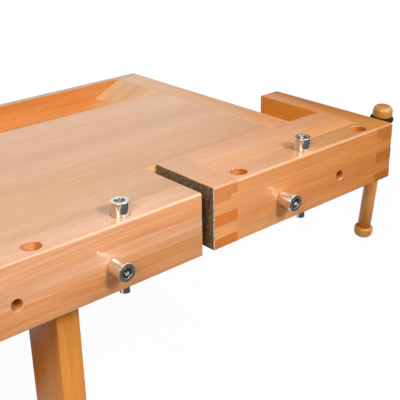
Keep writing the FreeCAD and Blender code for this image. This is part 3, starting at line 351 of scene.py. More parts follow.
def eased(node, material, width=ARRIS):
    """A copy of a CAD timber with its free square arrises bevelled; glued and hidden ones stay square.

    The long top arris of the bench front is rounded wider than the rest, and first.
    """
    mesh = bpy.data.meshes.new(f"{node}_timber")
    solid = bmesh.new()
    solid.from_mesh(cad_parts[node].data)
    bmesh.ops.remove_doubles(solid, verts=solid.verts, dist=TOUCH)
    bmesh.ops.dissolve_limit(solid, angle_limit=LEVEL, verts=solid.verts, edges=solid.edges)
    bmesh.ops.recalc_face_normals(solid, faces=solid.faces)
    for front, offset, segments in ((True, FRONT_ARRIS, 5), (False, width, 2)):
        bmesh.ops.bevel(
            solid, geom=list(free_arrises(solid, node, front)), offset=offset, segments=segments,
            profile=0.5, affect="EDGES", clamp_overlap=True,
        )
    for edge in solid.edges:
        edge.smooth = len(edge.link_faces) == 2 and edge.calc_face_angle() < ROUNDED
    for face in solid.faces:
        face.smooth = True
    solid.to_mesh(mesh)
    solid.free()
    piece = bpy.data.objects.new(f"{node}_timber", mesh)
    bpy.context.scene.collection.objects.link(piece)
    mesh.materials.append(material)
    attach(piece, BODY[node])
    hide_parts(node)


slab_low, slab_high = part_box("bench_slab")
slab_beech = beech("beech_slab", "X", SLAB_TONE, stave=STAVE, seed=3.0)
slab_middle = slab_low.y + SLAB_MIDDLE * (slab_high.y - slab_low.y)
drift(slab_beech, SLAB_BACK_PAINTED_LIGHT, slab_middle, slab_high.y, ACROSS)
drift(slab_beech, SLAB_FRONT_PAINTED_LIGHT, slab_low.y + 2 * EDGE_LINE, slab_low.y + EDGE_LINE, ACROSS)
pin_knot(slab_beech, PIN_KNOT)
beam_beech = beech(
    "beech_beam", "X", BEAM_TONE, courses=BEAM_COURSES, seed=11.0, figure=1.3, top=BEAM_TOP_SHEEN,
)
upper, lower = BEAM_COURSES
drift(beam_beech, UPPER_COURSE, upper - EDGE_LINE, upper + EDGE_LINE, UPWARD)
drift(beam_beech, LOWER_COURSE, *(lower + run for run in LOWER_RUN), UPWARD)
drift(beam_beech, BEAM_RIGHT_PAINTED_LIGHT, *BEAM_RIGHT_LIGHT_RUN)
finish(beam_beech, **FRONT_LACQUER)
stave_beech = beech("beech_stave", "X", STAVE_TONE, seed=13.0, top=STAVE_TOP_PAINTED_SHADE)
eased("bench_slab", slab_beech, THIN_ARRIS)
eased("slab_front_stave", stave_beech, THIN_ARRIS)
eased("front_beam", beam_beech)
eased("fixed_jaw_block", beam_beech)


# ---------------------------------------------------------------- end caps
# A cross-grained cap is bolted to each end of the core and keeps it flat; its grain runs across the
# bench, so its front end shows end grain.
CAP_TONE = (0.68, 0.345, 0.155)
CAP_NEAR = (1.07, 0.87, 0.70)
CAP_NEAR_RUN = (0.14, 0.02)

cap_beech = beech("beech_cap", "Y", CAP_TONE, seed=5.0)
drift(cap_beech, CAP_NEAR, *(slab_low.y + run for run in CAP_NEAR_RUN), ACROSS)
for cap in ("left_end_cap", "right_end_cap"):
    eased(cap, cap_beech)


# ---------------------------------------------------------------- tool tray
# The tray is a thin floor let into grooves, a rail behind it and a sloping block at each end. These
# boards are of a redder beech than the top, and the blocks are cut with their grain down the slope.
TRAY_TONE = (0.775, 0.272, 0.063)
TRAY_STAVE = 0.09
RAIL_TONE = (0.55, 0.190, 0.034)
# Painted sheen on the rail's top face.
RAIL_TOP_SHEEN = (1.10, 1.6, 3.0)
RAMP_TONE = (0.70, 0.375, 0.165)
RAMP_RUN = 0.070
# Painted reflection: a pale diagonal wedge on the glossy tray floor near each ramp paints the ramp's
# reflection.
FLOOR_RAMP_REFLECTION = (0.95, 1.25, 1.75)
RAMP_REFLECTION_WEDGE = (0.372, 0.410)
FLOOR_LACQUER = {"Coat_Weight": 1.0, "Coat_IOR": 2.0, "Coat_Roughness": 0.06}
# Painted shade: the foot of each ramp is painted darker and warmer where it meets the floor.
RAMP_FOOT_SHADE = (1.04, 0.88, 0.74)
RAMP_FOOT_SHADE_RUN = (0.022, -0.004)


def dress(node, material):
    """Give a CAD node one material."""
    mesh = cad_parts[node].data
    mesh.materials.clear()
    mesh.materials.append(material)


rail_beech = beech("beech_rail", "X", RAIL_TONE, seed=23.0, top=RAIL_TOP_SHEEN)
eased("rear_rail", rail_beech, THIN_ARRIS)
ramp_low, ramp_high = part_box("tray_ramps")
tray_middle = (ramp_low.x + ramp_high.x) / 2
ramp_foot = (ramp_high.x - ramp_low.x) / 2 - RAMP_RUN
tray_slope = (tray_middle, (ramp_high.z - ramp_low.z) / RAMP_RUN)
floor_beech = beech("beech_tray_floor", "X", TRAY_TONE, stave=TRAY_STAVE, seed=29.0)
finish(floor_beech, **FLOOR_LACQUER)
# Painted reflection of each ramp in the floor.
drift(floor_beech, FLOOR_RAMP_REFLECTION, *RAMP_REFLECTION_WEDGE, (1.0, -1.0, 0.0), tray_middle)
dress("tray_floor", floor_beech)
ramp_beech = beech("beech_ramp", "X", RAMP_TONE, seed=31.0, figure=1.2, slope=tray_slope)
drift(ramp_beech, RAMP_FOOT_SHADE, *(ramp_foot + run for run in RAMP_FOOT_SHADE_RUN), middle=tray_middle)
dress("tray_ramps", ramp_beech)


# ---------------------------------------------------------------- tail vise
# The box of the tail vise: a front board finger-jointed to the jaw block and to the long end board,
# with a top plate and a grooved rail between them. The jaw block and end board are cross-grained and
# of a deeper colour, and show dark end grain in the fingers.
VISE_TONE = (0.73, 0.275, 0.088)
# Painted sheen on the top faces of the vise front board.
VISE_TOP_SHEEN = (1.12, 1.42, 2.05)
VISE_RIGHT = (0.82, 0.71, 0.40)
VISE_PALE = (1.06, 1.15, 1.28)
VISE_PALE_RUN = (3.95, 3.70)
VISE_PALE_WAY = (1.0, 0.0, 4.0)
VISE_COURSES = (0.8300,)
PLATE_TONE = (0.88, 0.408, 0.176)
PLATE_RIGHT = (1.00, 0.90, 0.66)
PLATE_STAVE = 0.047
JAW_TONE = (0.70, 0.270, 0.090)
# Painted sheen on the top faces of the jaw block.
JAW_TOP_SHEEN = (1.03, 1.30, 1.78)
JAW_END = (0.93, 0.80, 0.62)
ARM_TONE = (0.80, 0.275, 0.030)
# Painted light on the top faces of the end board.
ARM_TOP_PAINTED_LIGHT = (0.86, 0.90, 1.30)
ARM_END = (0.60, 0.56, 0.60)
ARM_FAR = (1.03, 0.88, 0.68)
LOW_FINGERS = (0.97, 0.80, 0.50)
FINGER_STEP = (0.813, 0.811)

vise_low, vise_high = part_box("vise_front_board")
vise_beech = beech(
    "beech_vise_front", "X", VISE_TONE, courses=VISE_COURSES, seed=41.0, figure=1.2, top=VISE_TOP_SHEEN,
)
finish(vise_beech, **FRONT_LACQUER)
drift(vise_beech, VISE_RIGHT, vise_low.x, vise_high.x)
drift(vise_beech, VISE_PALE, *VISE_PALE_RUN, VISE_PALE_WAY)
eased("vise_front_board", vise_beech)
plate_beech = beech("beech_vise_top", "X", PLATE_TONE, stave=PLATE_STAVE, seed=43.0)
drift(plate_beech, PLATE_RIGHT, vise_low.x, vise_high.x)
eased("vise_top_plate", plate_beech, THIN_ARRIS)
eased("vise_back_rail", plate_beech, THIN_ARRIS)
jaw_beech = beech("beech_jaw", "Y", JAW_TONE, seed=47.0, end_tint=JAW_END, top=JAW_TOP_SHEEN)
drift(jaw_beech, LOW_FINGERS, *FINGER_STEP, UPWARD)
eased("vise_jaw_block", jaw_beech)
arm_beech = beech("beech_arm", "Y", ARM_TONE, seed=53.0, end_tint=ARM_END, top=ARM_TOP_PAINTED_LIGHT)
drift(arm_beech, LOW_FINGERS, *FINGER_STEP, UPWARD)
drift(arm_beech, ARM_FAR, vise_high.y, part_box("vise_end_board")[1].y, ACROSS)
eased("vise_end_board", arm_beech)
guide_beech = beech("beech_guides", "X", CAP_TONE, seed=59.0)
for node in ("vise_guide_bar", "vise_tongue", "guide_keeper", "rod_guide_blocks"):
    dress(node, guide_beech)


# ---------------------------------------------------------------- front vise
# The moving jaw, or chop, is one thick beech block drilled for two upright dogs. It is carried by two
# steel rods that slide in bored blocks under the top, and is lacquered like the beam behind it.
chop_beech = beech("beech_chop", "X", BEAM_TONE, seed=61.0)
eased("front_chop", chop_beech)


# ---------------------------------------------------------------- trestle base
# Two trestles of square timber, each a foot, two posts and a bearer joined by tenons, and two
# stretchers bolted between them. The timbers are oiled, not lacquered, so they shine little.
FRAME_TONE = (0.71, 0.255, 0.045)
FRAME_ARRIS = 0.002
OILED = {"Coat_Weight": 0.0, "Specular_IOR_Level": 0.12}

post_beech = beech("beech_posts", "Z", FRAME_TONE, seed=67.0)
foot_beech = beech("beech_feet", "Y", FRAME_TONE, seed=71.0)
stretcher_beech = beech("beech_stretchers", "X", FRAME_TONE, seed=73.0)
for material in (post_beech, foot_beech, stretcher_beech):
    finish(material, **OILED)
for side in ("left", "right"):
    for post in (f"front_{side}_post", f"rear_{side}_post"):
        eased(post, post_beech, FRAME_ARRIS)
    for timber in (f"{side}_foot", f"{side}_bearer"):
        eased(timber, foot_beech, FRAME_ARRIS)
for stretcher in ("front_stretcher", "rear_stretcher"):
    eased(stretcher, stretcher_beech, FRAME_ARRIS)


# ---------------------------------------------------------------- jaw linings
# A 3 mm sheet of coarse dark brown felt is glued to each moving jaw; its faces are matted and its
# edges frayed.
FELT_DARK = (0.028, 0.015, 0.004, 1.0)
FELT_PALE = (0.31, 0.180, 0.055, 1.0)
FELT_EDGE = (0.58, 0.46, 0.34, 1.0)
FELT_TUFTS = (300.0, 300.0, 220.0)
FELT_FIBRES = (1400.0, 1400.0, 1400.0)
FELT_PITCH = 0.0014
FELT_DEPTH = 0.0005


def felt(name, edge):
    """Matted fibres: a coarse and a fine noise pick between a dark and a pale brown.

    The cut edge, whose way out is given, is paler.
    """
    material, tree, shader = surface(name, roughness=0.95, Sheen_Weight=0.2, Sheen_Roughness=0.5)
    place = add(tree, "TexCoord")
    coarse = noise(tree, place.outputs["Object"], FELT_TUFTS, 3.0, 0.75)
    fine = noise(tree, place.outputs["Object"], FELT_FIBRES, 2.0, 0.7)
    tone = calc(tree, "ADD", calc(tree, "MULTIPLY", coarse, 0.75), calc(tree, "MULTIPLY", fine, 0.25))
    brown = mixed(tree, ranged(tree, tone, 0.41, 0.62), FELT_DARK, FELT_PALE)
    ahead = ranged(tree, dotted(tree, place.outputs["Normal"], edge), 0.5, 0.8)
    cut_edge = calc(tree, "MULTIPLY", ahead, ranged(tree, coarse, 0.3, 0.5))
    tree.links.new(mixed(tree, cut_edge, brown, FELT_EDGE), shader.inputs["Base Color"])
    bumped(tree, shader, tone, 0.8, 0.0008)
    return material


def sheet_rows(low, high, across, through):
    """Rows of points of a felt sheet.

    The level outline of the sheet is a rectangle walked once round; each row of height repeats it,
    pushed inwards by smoothed random fuzz, and the two end rows are drawn to the middle line.
    """
    cells = [max(2, round((high[axis] - low[axis]) / FELT_PITCH)) for axis in range(3)]
    sides = np.linspace(0, 1, cells[across], endpoint=False)
    ends = np.linspace(0, 1, max(3, cells[through]), endpoint=False)
    loop = np.concatenate([
        np.stack([sides, np.zeros_like(sides)], 1), np.stack([np.ones_like(ends), ends], 1),
        np.stack([1 - sides, np.ones_like(sides)], 1), np.stack([np.zeros_like(ends), 1 - ends], 1),
    ])
    heights = np.concatenate([[0.0], np.linspace(0, 1, cells[2]), [1.0]])
    rows = np.zeros((len(heights), len(loop), 3))
    rows[:, :, across] = low[across] + loop[:, 0] * (high[across] - low[across])
    rows[:, :, through] = low[through] + loop[:, 1] * (high[through] - low[through])
    rows[:, :, 2] = (low[2] + heights * (high[2] - low[2]))[:, None]
    fuzz = np.random.default_rng(7).random(rows.shape[:2])
    for axis in (0, 1):
        fuzz = (fuzz + np.roll(fuzz, 1, axis)) / 2
    middle = (low[through] + high[through]) / 2
    inward = 1 - 2 * FELT_DEPTH * fuzz / (high[through] - low[through])
    rows[:, :, through] = middle + (rows[:, :, through] - middle) * inward
    into = (heights < 0.02).astype(float) - (heights > 0.98)
    rows[1:-1, :, 2] += into[1:-1, None] * FELT_DEPTH * fuzz[1:-1]
    rows[[0, -1], :, through] = middle
    return rows


def loft(rows, closed=True):
    """Quads between neighbouring rows of points; in closed rows the last point joins the first."""
    high, wide = rows.shape[:2]
    row, here = np.mgrid[:high - 1, :wide if closed else wide - 1]
    beside = (here + 1) % wide
    below, above = row * wide, (row + 1) * wide
    quads = np.stack([below + here, below + beside, above + beside, above + here], -1)
    return quads.reshape(-1, 4).tolist()


def new_piece(name, points, faces, material):
    """An object at the origin from an array of points and the faces between them."""
    mesh = bpy.data.meshes.new(name)
    mesh.from_pydata(points.reshape(-1, 3).tolist(), [], faces)
    mesh.materials.append(material)
    mesh.shade_smooth()
    piece = bpy.data.objects.new(name, mesh)
    bpy.context.scene.collection.objects.link(piece)
    return piece


def outward(piece):
    """Merge doubles and turn every face of a closed piece outwards."""
    solid = bmesh.new()
    solid.from_mesh(piece.data)
    bmesh.ops.remove_doubles(solid, verts=solid.verts, dist=1e-6)
    bmesh.ops.recalc_face_normals(solid, faces=solid.faces)
    solid.to_mesh(piece.data)
    solid.free()
    return piece


for node, body, across, through, edge in (
    ("vise_jaw_lining", "tail_vise", 1, 0, (0, -1, 0)), ("chop_lining", "front_vise", 0, 1, (1, 0, 0)),
):
    rows = sheet_rows(*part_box(node), across, through)
    lining = outward(new_piece(f"{node}_felt", rows, loft(rows), felt(f"{node}_felt", edge)))
    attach(lining, body)
    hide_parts(node)


# ---------------------------------------------------------------- bench dogs
# Four round dogs turned from steel and nickel plated: a wide head on a thinner shank that stands in
# its hole, with a socket-head screw sunk in the face of each.
NICKEL = (0.80, 0.785, 0.745)
# Painted shade: the steel of the sunk screws is made dark to paint the shade in their recesses.
RECESS_SHADE_STEEL = (0.20, 0.195, 0.165)
DOG_HEAD = 0.015
DOG_HEAD_LONG = 0.030
DOG_SHANK = 0.009
DOG_STEPS = 80
HEEL = 0.0032
RECESS = 0.0087
RECESS_DEEP = 0.0105
CAP_HEAD = 0.008
HEX_KEY = 0.008
HEX_DEEP = 0.005
HEX_STEPS = 72
HEX_RIM = 0.0009
TOOL_MARKS = (5200.0, 0.0, 0.0)
CLOUDS = (160.0, 160.0, 160.0)


def curved(corners, steps=5):
    """Points of a turned outline from corners (radius, height, rounding).

    Each corner is drawn as the quadratic curve between the two points that lie the rounding away
    from it along its sides: (1 - t)^2 a + 2 t (1 - t) corner + t^2 b.
    """
    spots = np.array([corner[:2] for corner in corners], float)
    bends = [corner[2] for corner in corners[1:]]
    t = np.linspace(0, 1, steps)[:, None]
    points = [spots[:1]]
    for before, corner, after, bend in zip(spots, spots[1:], spots[2:], bends):
        if not bend:
            points.append(corner[None])
            continue
        first = corner + (before - corner) / np.linalg.norm(before - corner) * bend
        last = corner + (after - corner) / np.linalg.norm(after - corner) * bend
        points.append((1 - t) ** 2 * first + 2 * t * (1 - t) * corner + t ** 2 * last)
    return np.concatenate([*points, spots[-1:]])


def axes(out):
    """Two unit vectors square to a third."""
    out = np.array(out, float) / np.linalg.norm(out)
    helper = np.array((0.0, 1.0, 0.0)) if abs(out[1]) < 0.7 else np.array((1.0, 0.0, 0.0))
    one = np.cross(helper, out)
    one /= np.linalg.norm(one)
    return one, np.cross(out, one), out


def turned(name, outline, spot, out, material, steps=DOG_STEPS, waist=None):
    """An outline of (radius, height) spun round an axis through a spot.

    The point at angle a is spot + r cos a u + r sin a v + h w; a waist may change r with the angle.
    The loose place (h, r cos a, r sin a) is kept on every point as the attribute 'turned_place'.
    """
    u, v, w = axes(out)
    angle = np.linspace(0, 2 * math.pi, steps, endpoint=False)
    radius = np.repeat(outline[:, :1], steps, 1)
    if waist:
        radius = waist(radius, angle[None, :])
    flat_u = radius * np.cos(angle)
    flat_v = radius * np.sin(angle)
    height = np.repeat(outline[:, 1:], steps, 1)
    rows = np.array(spot) + flat_u[..., None] * u + flat_v[..., None] * v + height[..., None] * w
    piece = new_piece(name, rows, loft(rows), material)
    place = piece.data.attributes.new("turned_place", "FLOAT_VECTOR", "POINT")
    place.data.foreach_set("vector", np.stack([height, flat_u, flat_v], -1).ravel())
    return outward(piece)


def plated(name, colour, roughness=0.12, wear=0.08, face=0.0):
    """Bright turned metal: rings of tool marks round the axis and a faint cloudiness in the gloss.

    The face at height 0 is left rougher than the polished side.
    """
    material, tree, shader = surface(name, metallic=1.0)
    place = add(tree, "Attribute", attribute_name="turned_place").outputs["Vector"]
    h, a, b = add(tree, "SeparateXYZ", {0: place}).outputs
    squares = calc(tree, "ADD", calc(tree, "MULTIPLY", a, a), calc(tree, "MULTIPLY", b, b))
    rings = calc(tree, "ADD", calc(tree, "SQRT", squares), h)
    marks = noise(tree, add(tree, "CombineXYZ", {0: rings}).outputs[0], TOOL_MARKS, 2.0, 0.7)
    cloud = noise(tree, add(tree, "TexCoord").outputs["Object"], CLOUDS, 3.0)
    tone = mixed(tree, ranged(tree, cloud, 0.3, 0.7), shaded(colour, 0.82), shaded(colour, 1.0))
    tree.links.new(tone, shader.inputs["Base Color"])
    gloss = ranged(tree, cloud, 0.3, 0.7, roughness, roughness + wear)
    rough = calc(tree, "ADD", gloss, ranged(tree, h, -0.0004, -0.0002, 0.0, face))
    tree.links.new(rough, shader.inputs["Roughness"])
    bumped(tree, shader, marks, 0.35, 0.00003)
    return material


def hexagon(radius, angle):
    """Inside the key socket the radius follows a hexagon: half the key's width over cos of the angle."""
    across = (angle + math.pi / 6) % (math.pi / 3) - math.pi / 6
    flat = HEX_KEY / 2 / np.cos(across)
    return np.where(np.isclose(radius, HEX_KEY / 2, atol=2e-5), flat, radius)


def on_axis(node, out):
    """A turned node's two ends on its axis, the one in the direction out last, and its length."""
    low, high = (np.array(corner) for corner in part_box(node))
    middle, length = (low + high) / 2, np.abs(out) @ (high - low)
    return middle - out * length / 2, middle + out * length / 2, length


nickel = plated("nickel_plate", NICKEL, 0.12, 0.08, 0.12)
recess_shade_steel = plated("screw_steel_painted_shade", RECESS_SHADE_STEEL, 0.25)
for dog, way in (
    ("beam_top_dog", (0, 0, 1)), ("vise_top_dog", (0, 0, 1)),
    ("beam_side_dog", (0, -1, 0)), ("vise_side_dog", (0, -1, 0)),
):
    out = np.array(way, float)
    _, face, reach = on_axis(dog, out)
    outline = curved([
        (0, -RECESS_DEEP, 0), (RECESS, -RECESS_DEEP, 0), (RECESS, 0, 0.0004), (DOG_HEAD, 0, 0.0007),
        (DOG_HEAD, -DOG_HEAD_LONG, HEEL), (DOG_SHANK, -DOG_HEAD_LONG, 0), (DOG_SHANK, -reach, 0.0006),
        (0, -reach, 0),
    ])
    piece = turned(f"{dog}_turned", outline, face, out, nickel)
    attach(piece, dog)
    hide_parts(dog)
    crown = (on_axis(f"{dog}_screw", out)[1] - face) @ out
    outline = curved([
        (0, crown - HEX_DEEP, 0), (HEX_KEY / 2, crown - HEX_DEEP, 0), (HEX_KEY / 2, crown - 0.0004, 0),
        (HEX_KEY / 2 + HEX_RIM, crown, 0.0002), (CAP_HEAD, crown, 0.0009), (CAP_HEAD, -RECESS_DEEP, 0),
        (0, -RECESS_DEEP, 0),
    ])
    screw = turned(f"{dog}_cap_screw", outline, face, out, recess_shade_steel, HEX_STEPS, hexagon)
    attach(screw, dog)
    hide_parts(f"{dog}_screw")


# ---------------------------------------------------------------- screws, nuts and bolts
# Both vise screws are steel with a trapezoidal thread of 6 mm pitch; the flanges, hubs and nut
# brackets are iron castings with dark enamel.
ENAMEL = (0.018, 0.019, 0.021)
ENAMEL_LUMPS = (420.0, 420.0, 420.0)
STEEL = (0.50, 0.50, 0.48)
STEEL_CLOUDS = (120.0, 120.0, 120.0)
SCREW = 0.013
THREAD_PITCH = 0.006
THREAD_DEEP = 0.0028
THREAD_CREST = 0.37
THREAD_FLANK = 0.26
THREAD_ROWS = 10
THREAD_STEPS = 40
THREAD_END = 0.004
TAIL_PLAIN = 0.060
FRONT_PLAIN = 0.100


def enamel(name, colour):
    """Stove enamel over a cast skin: low lumps in the bump and a slightly uneven gloss."""
    material, tree, shader = surface(name, roughness=0.35)
    lumps = noise(tree, add(tree, "TexCoord").outputs["Object"], ENAMEL_LUMPS, 3.0)
    tone = mixed(tree, lumps, shaded(colour, 0.8), shaded(colour, 1.3))
    tree.links.new(tone, shader.inputs["Base Color"])
    tree.links.new(ranged(tree, lumps, 0.3, 0.7, 0.30, 0.45), shader.inputs["Roughness"])
    bumped(tree, shader, lumps, 0.25, 0.0004)
    return material


def rolled(name, colour):
    """Drawn or rolled steel with a thin film of oil."""
    material, tree, shader = surface(name, metallic=1.0)
    cloud = noise(tree, add(tree, "TexCoord").outputs["Object"], STEEL_CLOUDS, 4.0, 0.6)
    tone = mixed(tree, cloud, shaded(colour, 0.7), shaded(colour, 1.15))
    tree.links.new(tone, shader.inputs["Base Color"])
    tree.links.new(ranged(tree, cloud, 0.3, 0.7, 0.22, 0.42), shader.inputs["Roughness"])
    return material


def threaded(name, tail, out, length, plain, material):
    """A screw from its tail outwards, with a trapezoidal thread up to the plain neck.

    At height h and angle a the turn's share is t = frac(h / pitch - a / 2 pi); the radius falls from
    crest to root and rises again as |2 t - 1| runs over its middle part.
    """
    u, v, w = axes(out)
    angle = np.linspace(0, 2 * math.pi, THREAD_STEPS, endpoint=False)[None, :]
    cut = length - plain
    rows = int(cut / THREAD_PITCH * THREAD_ROWS)
    height = np.concatenate([[0.0], np.linspace(0, cut, rows), [cut + THREAD_END, length, length]])
    height = height[:, None]
    share = (height / THREAD_PITCH - angle / (2 * math.pi)) % 1
    groove = np.clip((np.abs(2 * share - 1) - THREAD_CREST) / THREAD_FLANK, 0, 1) * (height < cut)
    radius = SCREW - THREAD_DEEP * groove
    radius[[0, -1]] = 0
    arms = radius[..., None] * (np.cos(angle)[..., None] * u + np.sin(angle)[..., None] * v)
    points = np.array(tail) + arms + height[..., None] * w
    return outward(new_piece(name, points, loft(points), material))


iron = enamel("dark_enamel", ENAMEL)
steel = rolled("drawn_steel", STEEL)
for node in (
    "tail_flange", "front_flange", "tail_hub", "front_hub", "tail_nut_bracket", "front_nut_bracket",
):
    dress(node, iron)
for node in (
    "guide_rods", "long_bolts", "barrel_nuts", "bracket_bolts", "tail_flange_screws",
    "front_flange_screws",
):
    dress(node, steel)
for node, way, plain in (
    ("tail_screw", (1, 0, 0), TAIL_PLAIN), ("front_screw", (0, -1, 0), FRONT_PLAIN),
):
    out = np.array(way, float)
    tail, _, length = on_axis(node, out)
    screw = threaded(f"{node}_thread", tail, out, length, plain, steel)
    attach(screw, node)
    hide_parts(node)


# ---------------------------------------------------------------- tommy bars
# Each handle is a turned beech bar that slides through the hub of its screw, with a turned knob fixed
# on each end; a rubber ring under the upper knob stops the bar softly.
BAR_TONE = (0.86, 0.290, 0.030)
KNOB_TONE = (0.54, 0.205, 0.030)
KNOB_END = (0.97, 0.95, 0.90)
RUBBER = (0.006, 0.006, 0.0065)
RUBBER_BLOOM = (150.0, 150.0, 150.0)
TAIL_TILT = math.radians(5.8)
FRONT_TILT = math.radians(24)
BAR = 0.014
BAR_ABOVE = 0.0623
BAR_BELOW = 0.242
BAR_IN_KNOB = 0.01
KNOB = 0.020
KNOB_HIGH = 0.024
KNOB_CROWN = 0.0135
KNOB_FOOT = 0.0055
KNOB_DISH = 0.9
KNOB_GRIP = 0.0005
RING = 0.0235
RING_THICK = 0.008
RING_ROUND = 0.0032
RING_GRIP = 0.0002


def rubber(name):
    """Black rubber with a slight bloom."""
    material, tree, shader = surface(name, roughness=0.7, Specular_IOR_Level=0.12)
    bloom = noise(tree, add(tree, "TexCoord").outputs["Object"], RUBBER_BLOOM, 3.0)
    tone = mixed(tree, bloom, shaded(RUBBER, 1.0), shaded(RUBBER, 2.2))
    tree.links.new(tone, shader.inputs["Base Color"])
    tree.links.new(ranged(tree, bloom, 0.3, 0.7, 0.6, 0.8), shader.inputs["Roughness"])
    return material


def knob_outline(end, way):
    """A knob's outline from its crown at one end of the bar, the way of that end being 1 or -1."""
    foot = end - way * KNOB_HIGH
    return curved([
        (0, end, 0), (KNOB, end, KNOB_CROWN), (KNOB, foot, KNOB_FOOT), (BAR - KNOB_GRIP, foot, 0),
        (0, end - way * KNOB_HIGH * KNOB_DISH, 0),
    ], steps=9)


black_rubber = rubber("black_rubber")
dress("foot_pads", black_rubber)
bar_top, bar_foot = BAR_ABOVE - BAR_IN_KNOB, -BAR_BELOW + BAR_IN_KNOB
bar_outline = np.array([(0, bar_foot), (BAR, bar_foot), (BAR, bar_top), (0, bar_top)])
ring_low = BAR_ABOVE - KNOB_HIGH - RING_THICK
ring_outline = curved([
    (BAR - RING_GRIP, ring_low, 0), (RING, ring_low, RING_ROUND),
    (RING, ring_low + RING_THICK, RING_ROUND), (BAR - RING_GRIP, ring_low + RING_THICK, 0),
    (BAR - RING_GRIP, ring_low, 0),
], steps=7)
for handle, tilt, screw_axis in (("tail", (0.0, -TAIL_TILT), 0), ("front", (FRONT_TILT, 0.0), 1)):
    out = (math.sin(tilt[0]), math.sin(tilt[1]), math.cos(math.hypot(*tilt)))
    hub, rod = (np.array([*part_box(f"{handle}_{part}")]).mean(0) for part in ("hub", "bar"))
    # The hub's nose makes it longer on one side, so along the screw the bar's own middle counts.
    hub[screw_axis] = rod[screw_axis]
    bar_wood = beech(f"beech_{handle}_bar", "X", BAR_TONE, seed=79.0, axis=out)
    knob_wood = beech(f"beech_{handle}_knob", "X", KNOB_TONE, seed=83.0, end_tint=KNOB_END, axis=out)
    for node, name, outline, material, slot in (
        ("bar", "bar_turned", bar_outline, bar_wood, "beech_turned"),
        ("knobs", "upper_knob", knob_outline(BAR_ABOVE, 1), knob_wood, "beech_turned"),
        ("knobs", "lower_knob", knob_outline(-BAR_BELOW, -1), knob_wood, "beech_turned"),
        ("ring", "rubber_ring", ring_outline, black_rubber, "black_rubber"),
    ):
        piece = turned(f"{handle}_{name}", outline, hub, out, material)
        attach(piece, f"{handle}_bar")
        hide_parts(f"{handle}_{node}")


# ---------------------------------------------------------------- studio
# A pale floor that runs up into a backdrop and an even pale sky, with a key lamp in front, a fill at
# the front left and a rim lamp at the right that draws the arrises. Cards low in front of the bench
# and two dim walls only show in polished surfaces, and give the steel its dark and warm sides.
CAMERA_PLACE = (-0.345754, -1.139821, 1.373762)
CAMERA_AZIMUTH = math.radians(40.941)
CAMERA_DROP = math.radians(23.876)
CAMERA_ROLL = math.radians(-1.09)
CAMERA_LENS = 73.99
SENSOR = 36.0
WHITE = (1.0, 1.0, 1.0, 1.0)
SKY_LIGHT = (1.0, 0.99, 0.98, 1.0)
SKY_STRENGTH = 0.15
FLOOR_PAINT = (0.92, 0.92, 0.92, 1.0)
FLOOR_DIM = (0.25, 0.25, 0.25, 1.0)
FLOOR_REACH = 9.0
FLOOR_HALF = 14.0
FLOOR_BEND = 3.0
FLOOR_RISE = 5.0
FLOOR_DROP = 0.0005
SCENE_MIDDLE = (0.3, -0.2, 0.86)
# Each lamp's name, bearing, rise in degrees, distance, size and power in watts.
LAMPS = (
    ("key", (0.139, -0.990), 37, 6.0, 1.3, 265.0),
    ("fill", (-0.87, -0.50), 33, 6.0, 2.5, 250.0),
    ("rim", (0.60, -0.40), 46, 6.0, 0.9, 70.0),
)
CARD_LEVEL = 0.4
DARK_CARD = ((-0.37, -0.30), (-0.37, -4.0), (4.5, -4.0), (4.5, -0.30))
DARK_TONE = (0.045, 0.045, 0.042)
WARM_CARD = ((-3.0, -0.30), (-3.0, -4.0), (-0.60, -4.0), (-0.60, -0.30))
WARM_TONE = (0.42, 0.20, 0.075)
WALL_LEVELS = (0.9, 6.0)
RIGHT_WALL = ((2.6, 2.6), (2.7, 2.6), (3.9, 2.6), (9.0, 2.6))
RIGHT_TONES = (1.0, 1.0, 0.1, 0.1)
LEFT_WALL = ((-1.0, -5.5), (-5.5, -5.5), (-5.5, 8.0))
LEFT_TONES = (0.10, 0.10, 0.10)


def placed(name, data, right, up, back, place):
    """Link a camera or a lamp whose three axes and place are given."""
    pose = np.eye(4)
    pose[:3] = np.stack([right, up, back, place], 1)
    holder = bpy.data.objects.new(name, data)
    bpy.context.scene.collection.objects.link(holder)
    holder.matrix_world = Matrix(pose.tolist())
    return holder


def camera():
    """Camera whose axes are worked out from its bearing, its drop below level and its roll."""
    lens = bpy.data.cameras.new("camera")
    lens.lens = CAMERA_LENS
    lens.sensor_width = SENSOR
    lens.clip_end = 60.0
    sight = np.array([
        math.sin(CAMERA_AZIMUTH) * math.cos(CAMERA_DROP),
        math.cos(CAMERA_AZIMUTH) * math.cos(CAMERA_DROP),
        -math.sin(CAMERA_DROP),
    ])
    level = np.cross(sight, UPWARD)
    level /= np.linalg.norm(level)
    upright = np.cross(level, sight)
    right = math.cos(CAMERA_ROLL) * level + math.sin(CAMERA_ROLL) * upright
    up = -math.sin(CAMERA_ROLL) * level + math.cos(CAMERA_ROLL) * upright
    bpy.context.scene.camera = placed("camera", lens, right, up, -sight, CAMERA_PLACE)


def seen_directly(tree):
    """1 for camera, mirror and glass rays, 0 for the rays that carry light."""
    path = add(tree, "LightPath")
    mirror = calc(tree, "MAXIMUM", path.outputs["Is Glossy Ray"], path.outputs["Is Transmission Ray"])
    return calc(tree, "MAXIMUM", path.outputs["Is Camera Ray"], mirror)


def sky():
    """An even sky: white where it is seen, and dimmer as light."""
    world = bpy.data.worlds.new("sky")
    bpy.context.scene.world = world
    world.use_nodes = True
    tree = world.node_tree
    tree.nodes.clear()
    lit = add(tree, "Background", {"Color": SKY_LIGHT, "Strength": SKY_STRENGTH})
    shown = add(tree, "Background", {"Color": WHITE, "Strength": 1.0})
    both = add(tree, "MixShader", {0: seen_directly(tree), 1: lit.outputs[0], 2: shown.outputs[0]})
    output = add(tree, "OutputWorld", {"Surface": both.outputs[0]})
    output.is_active_output = True


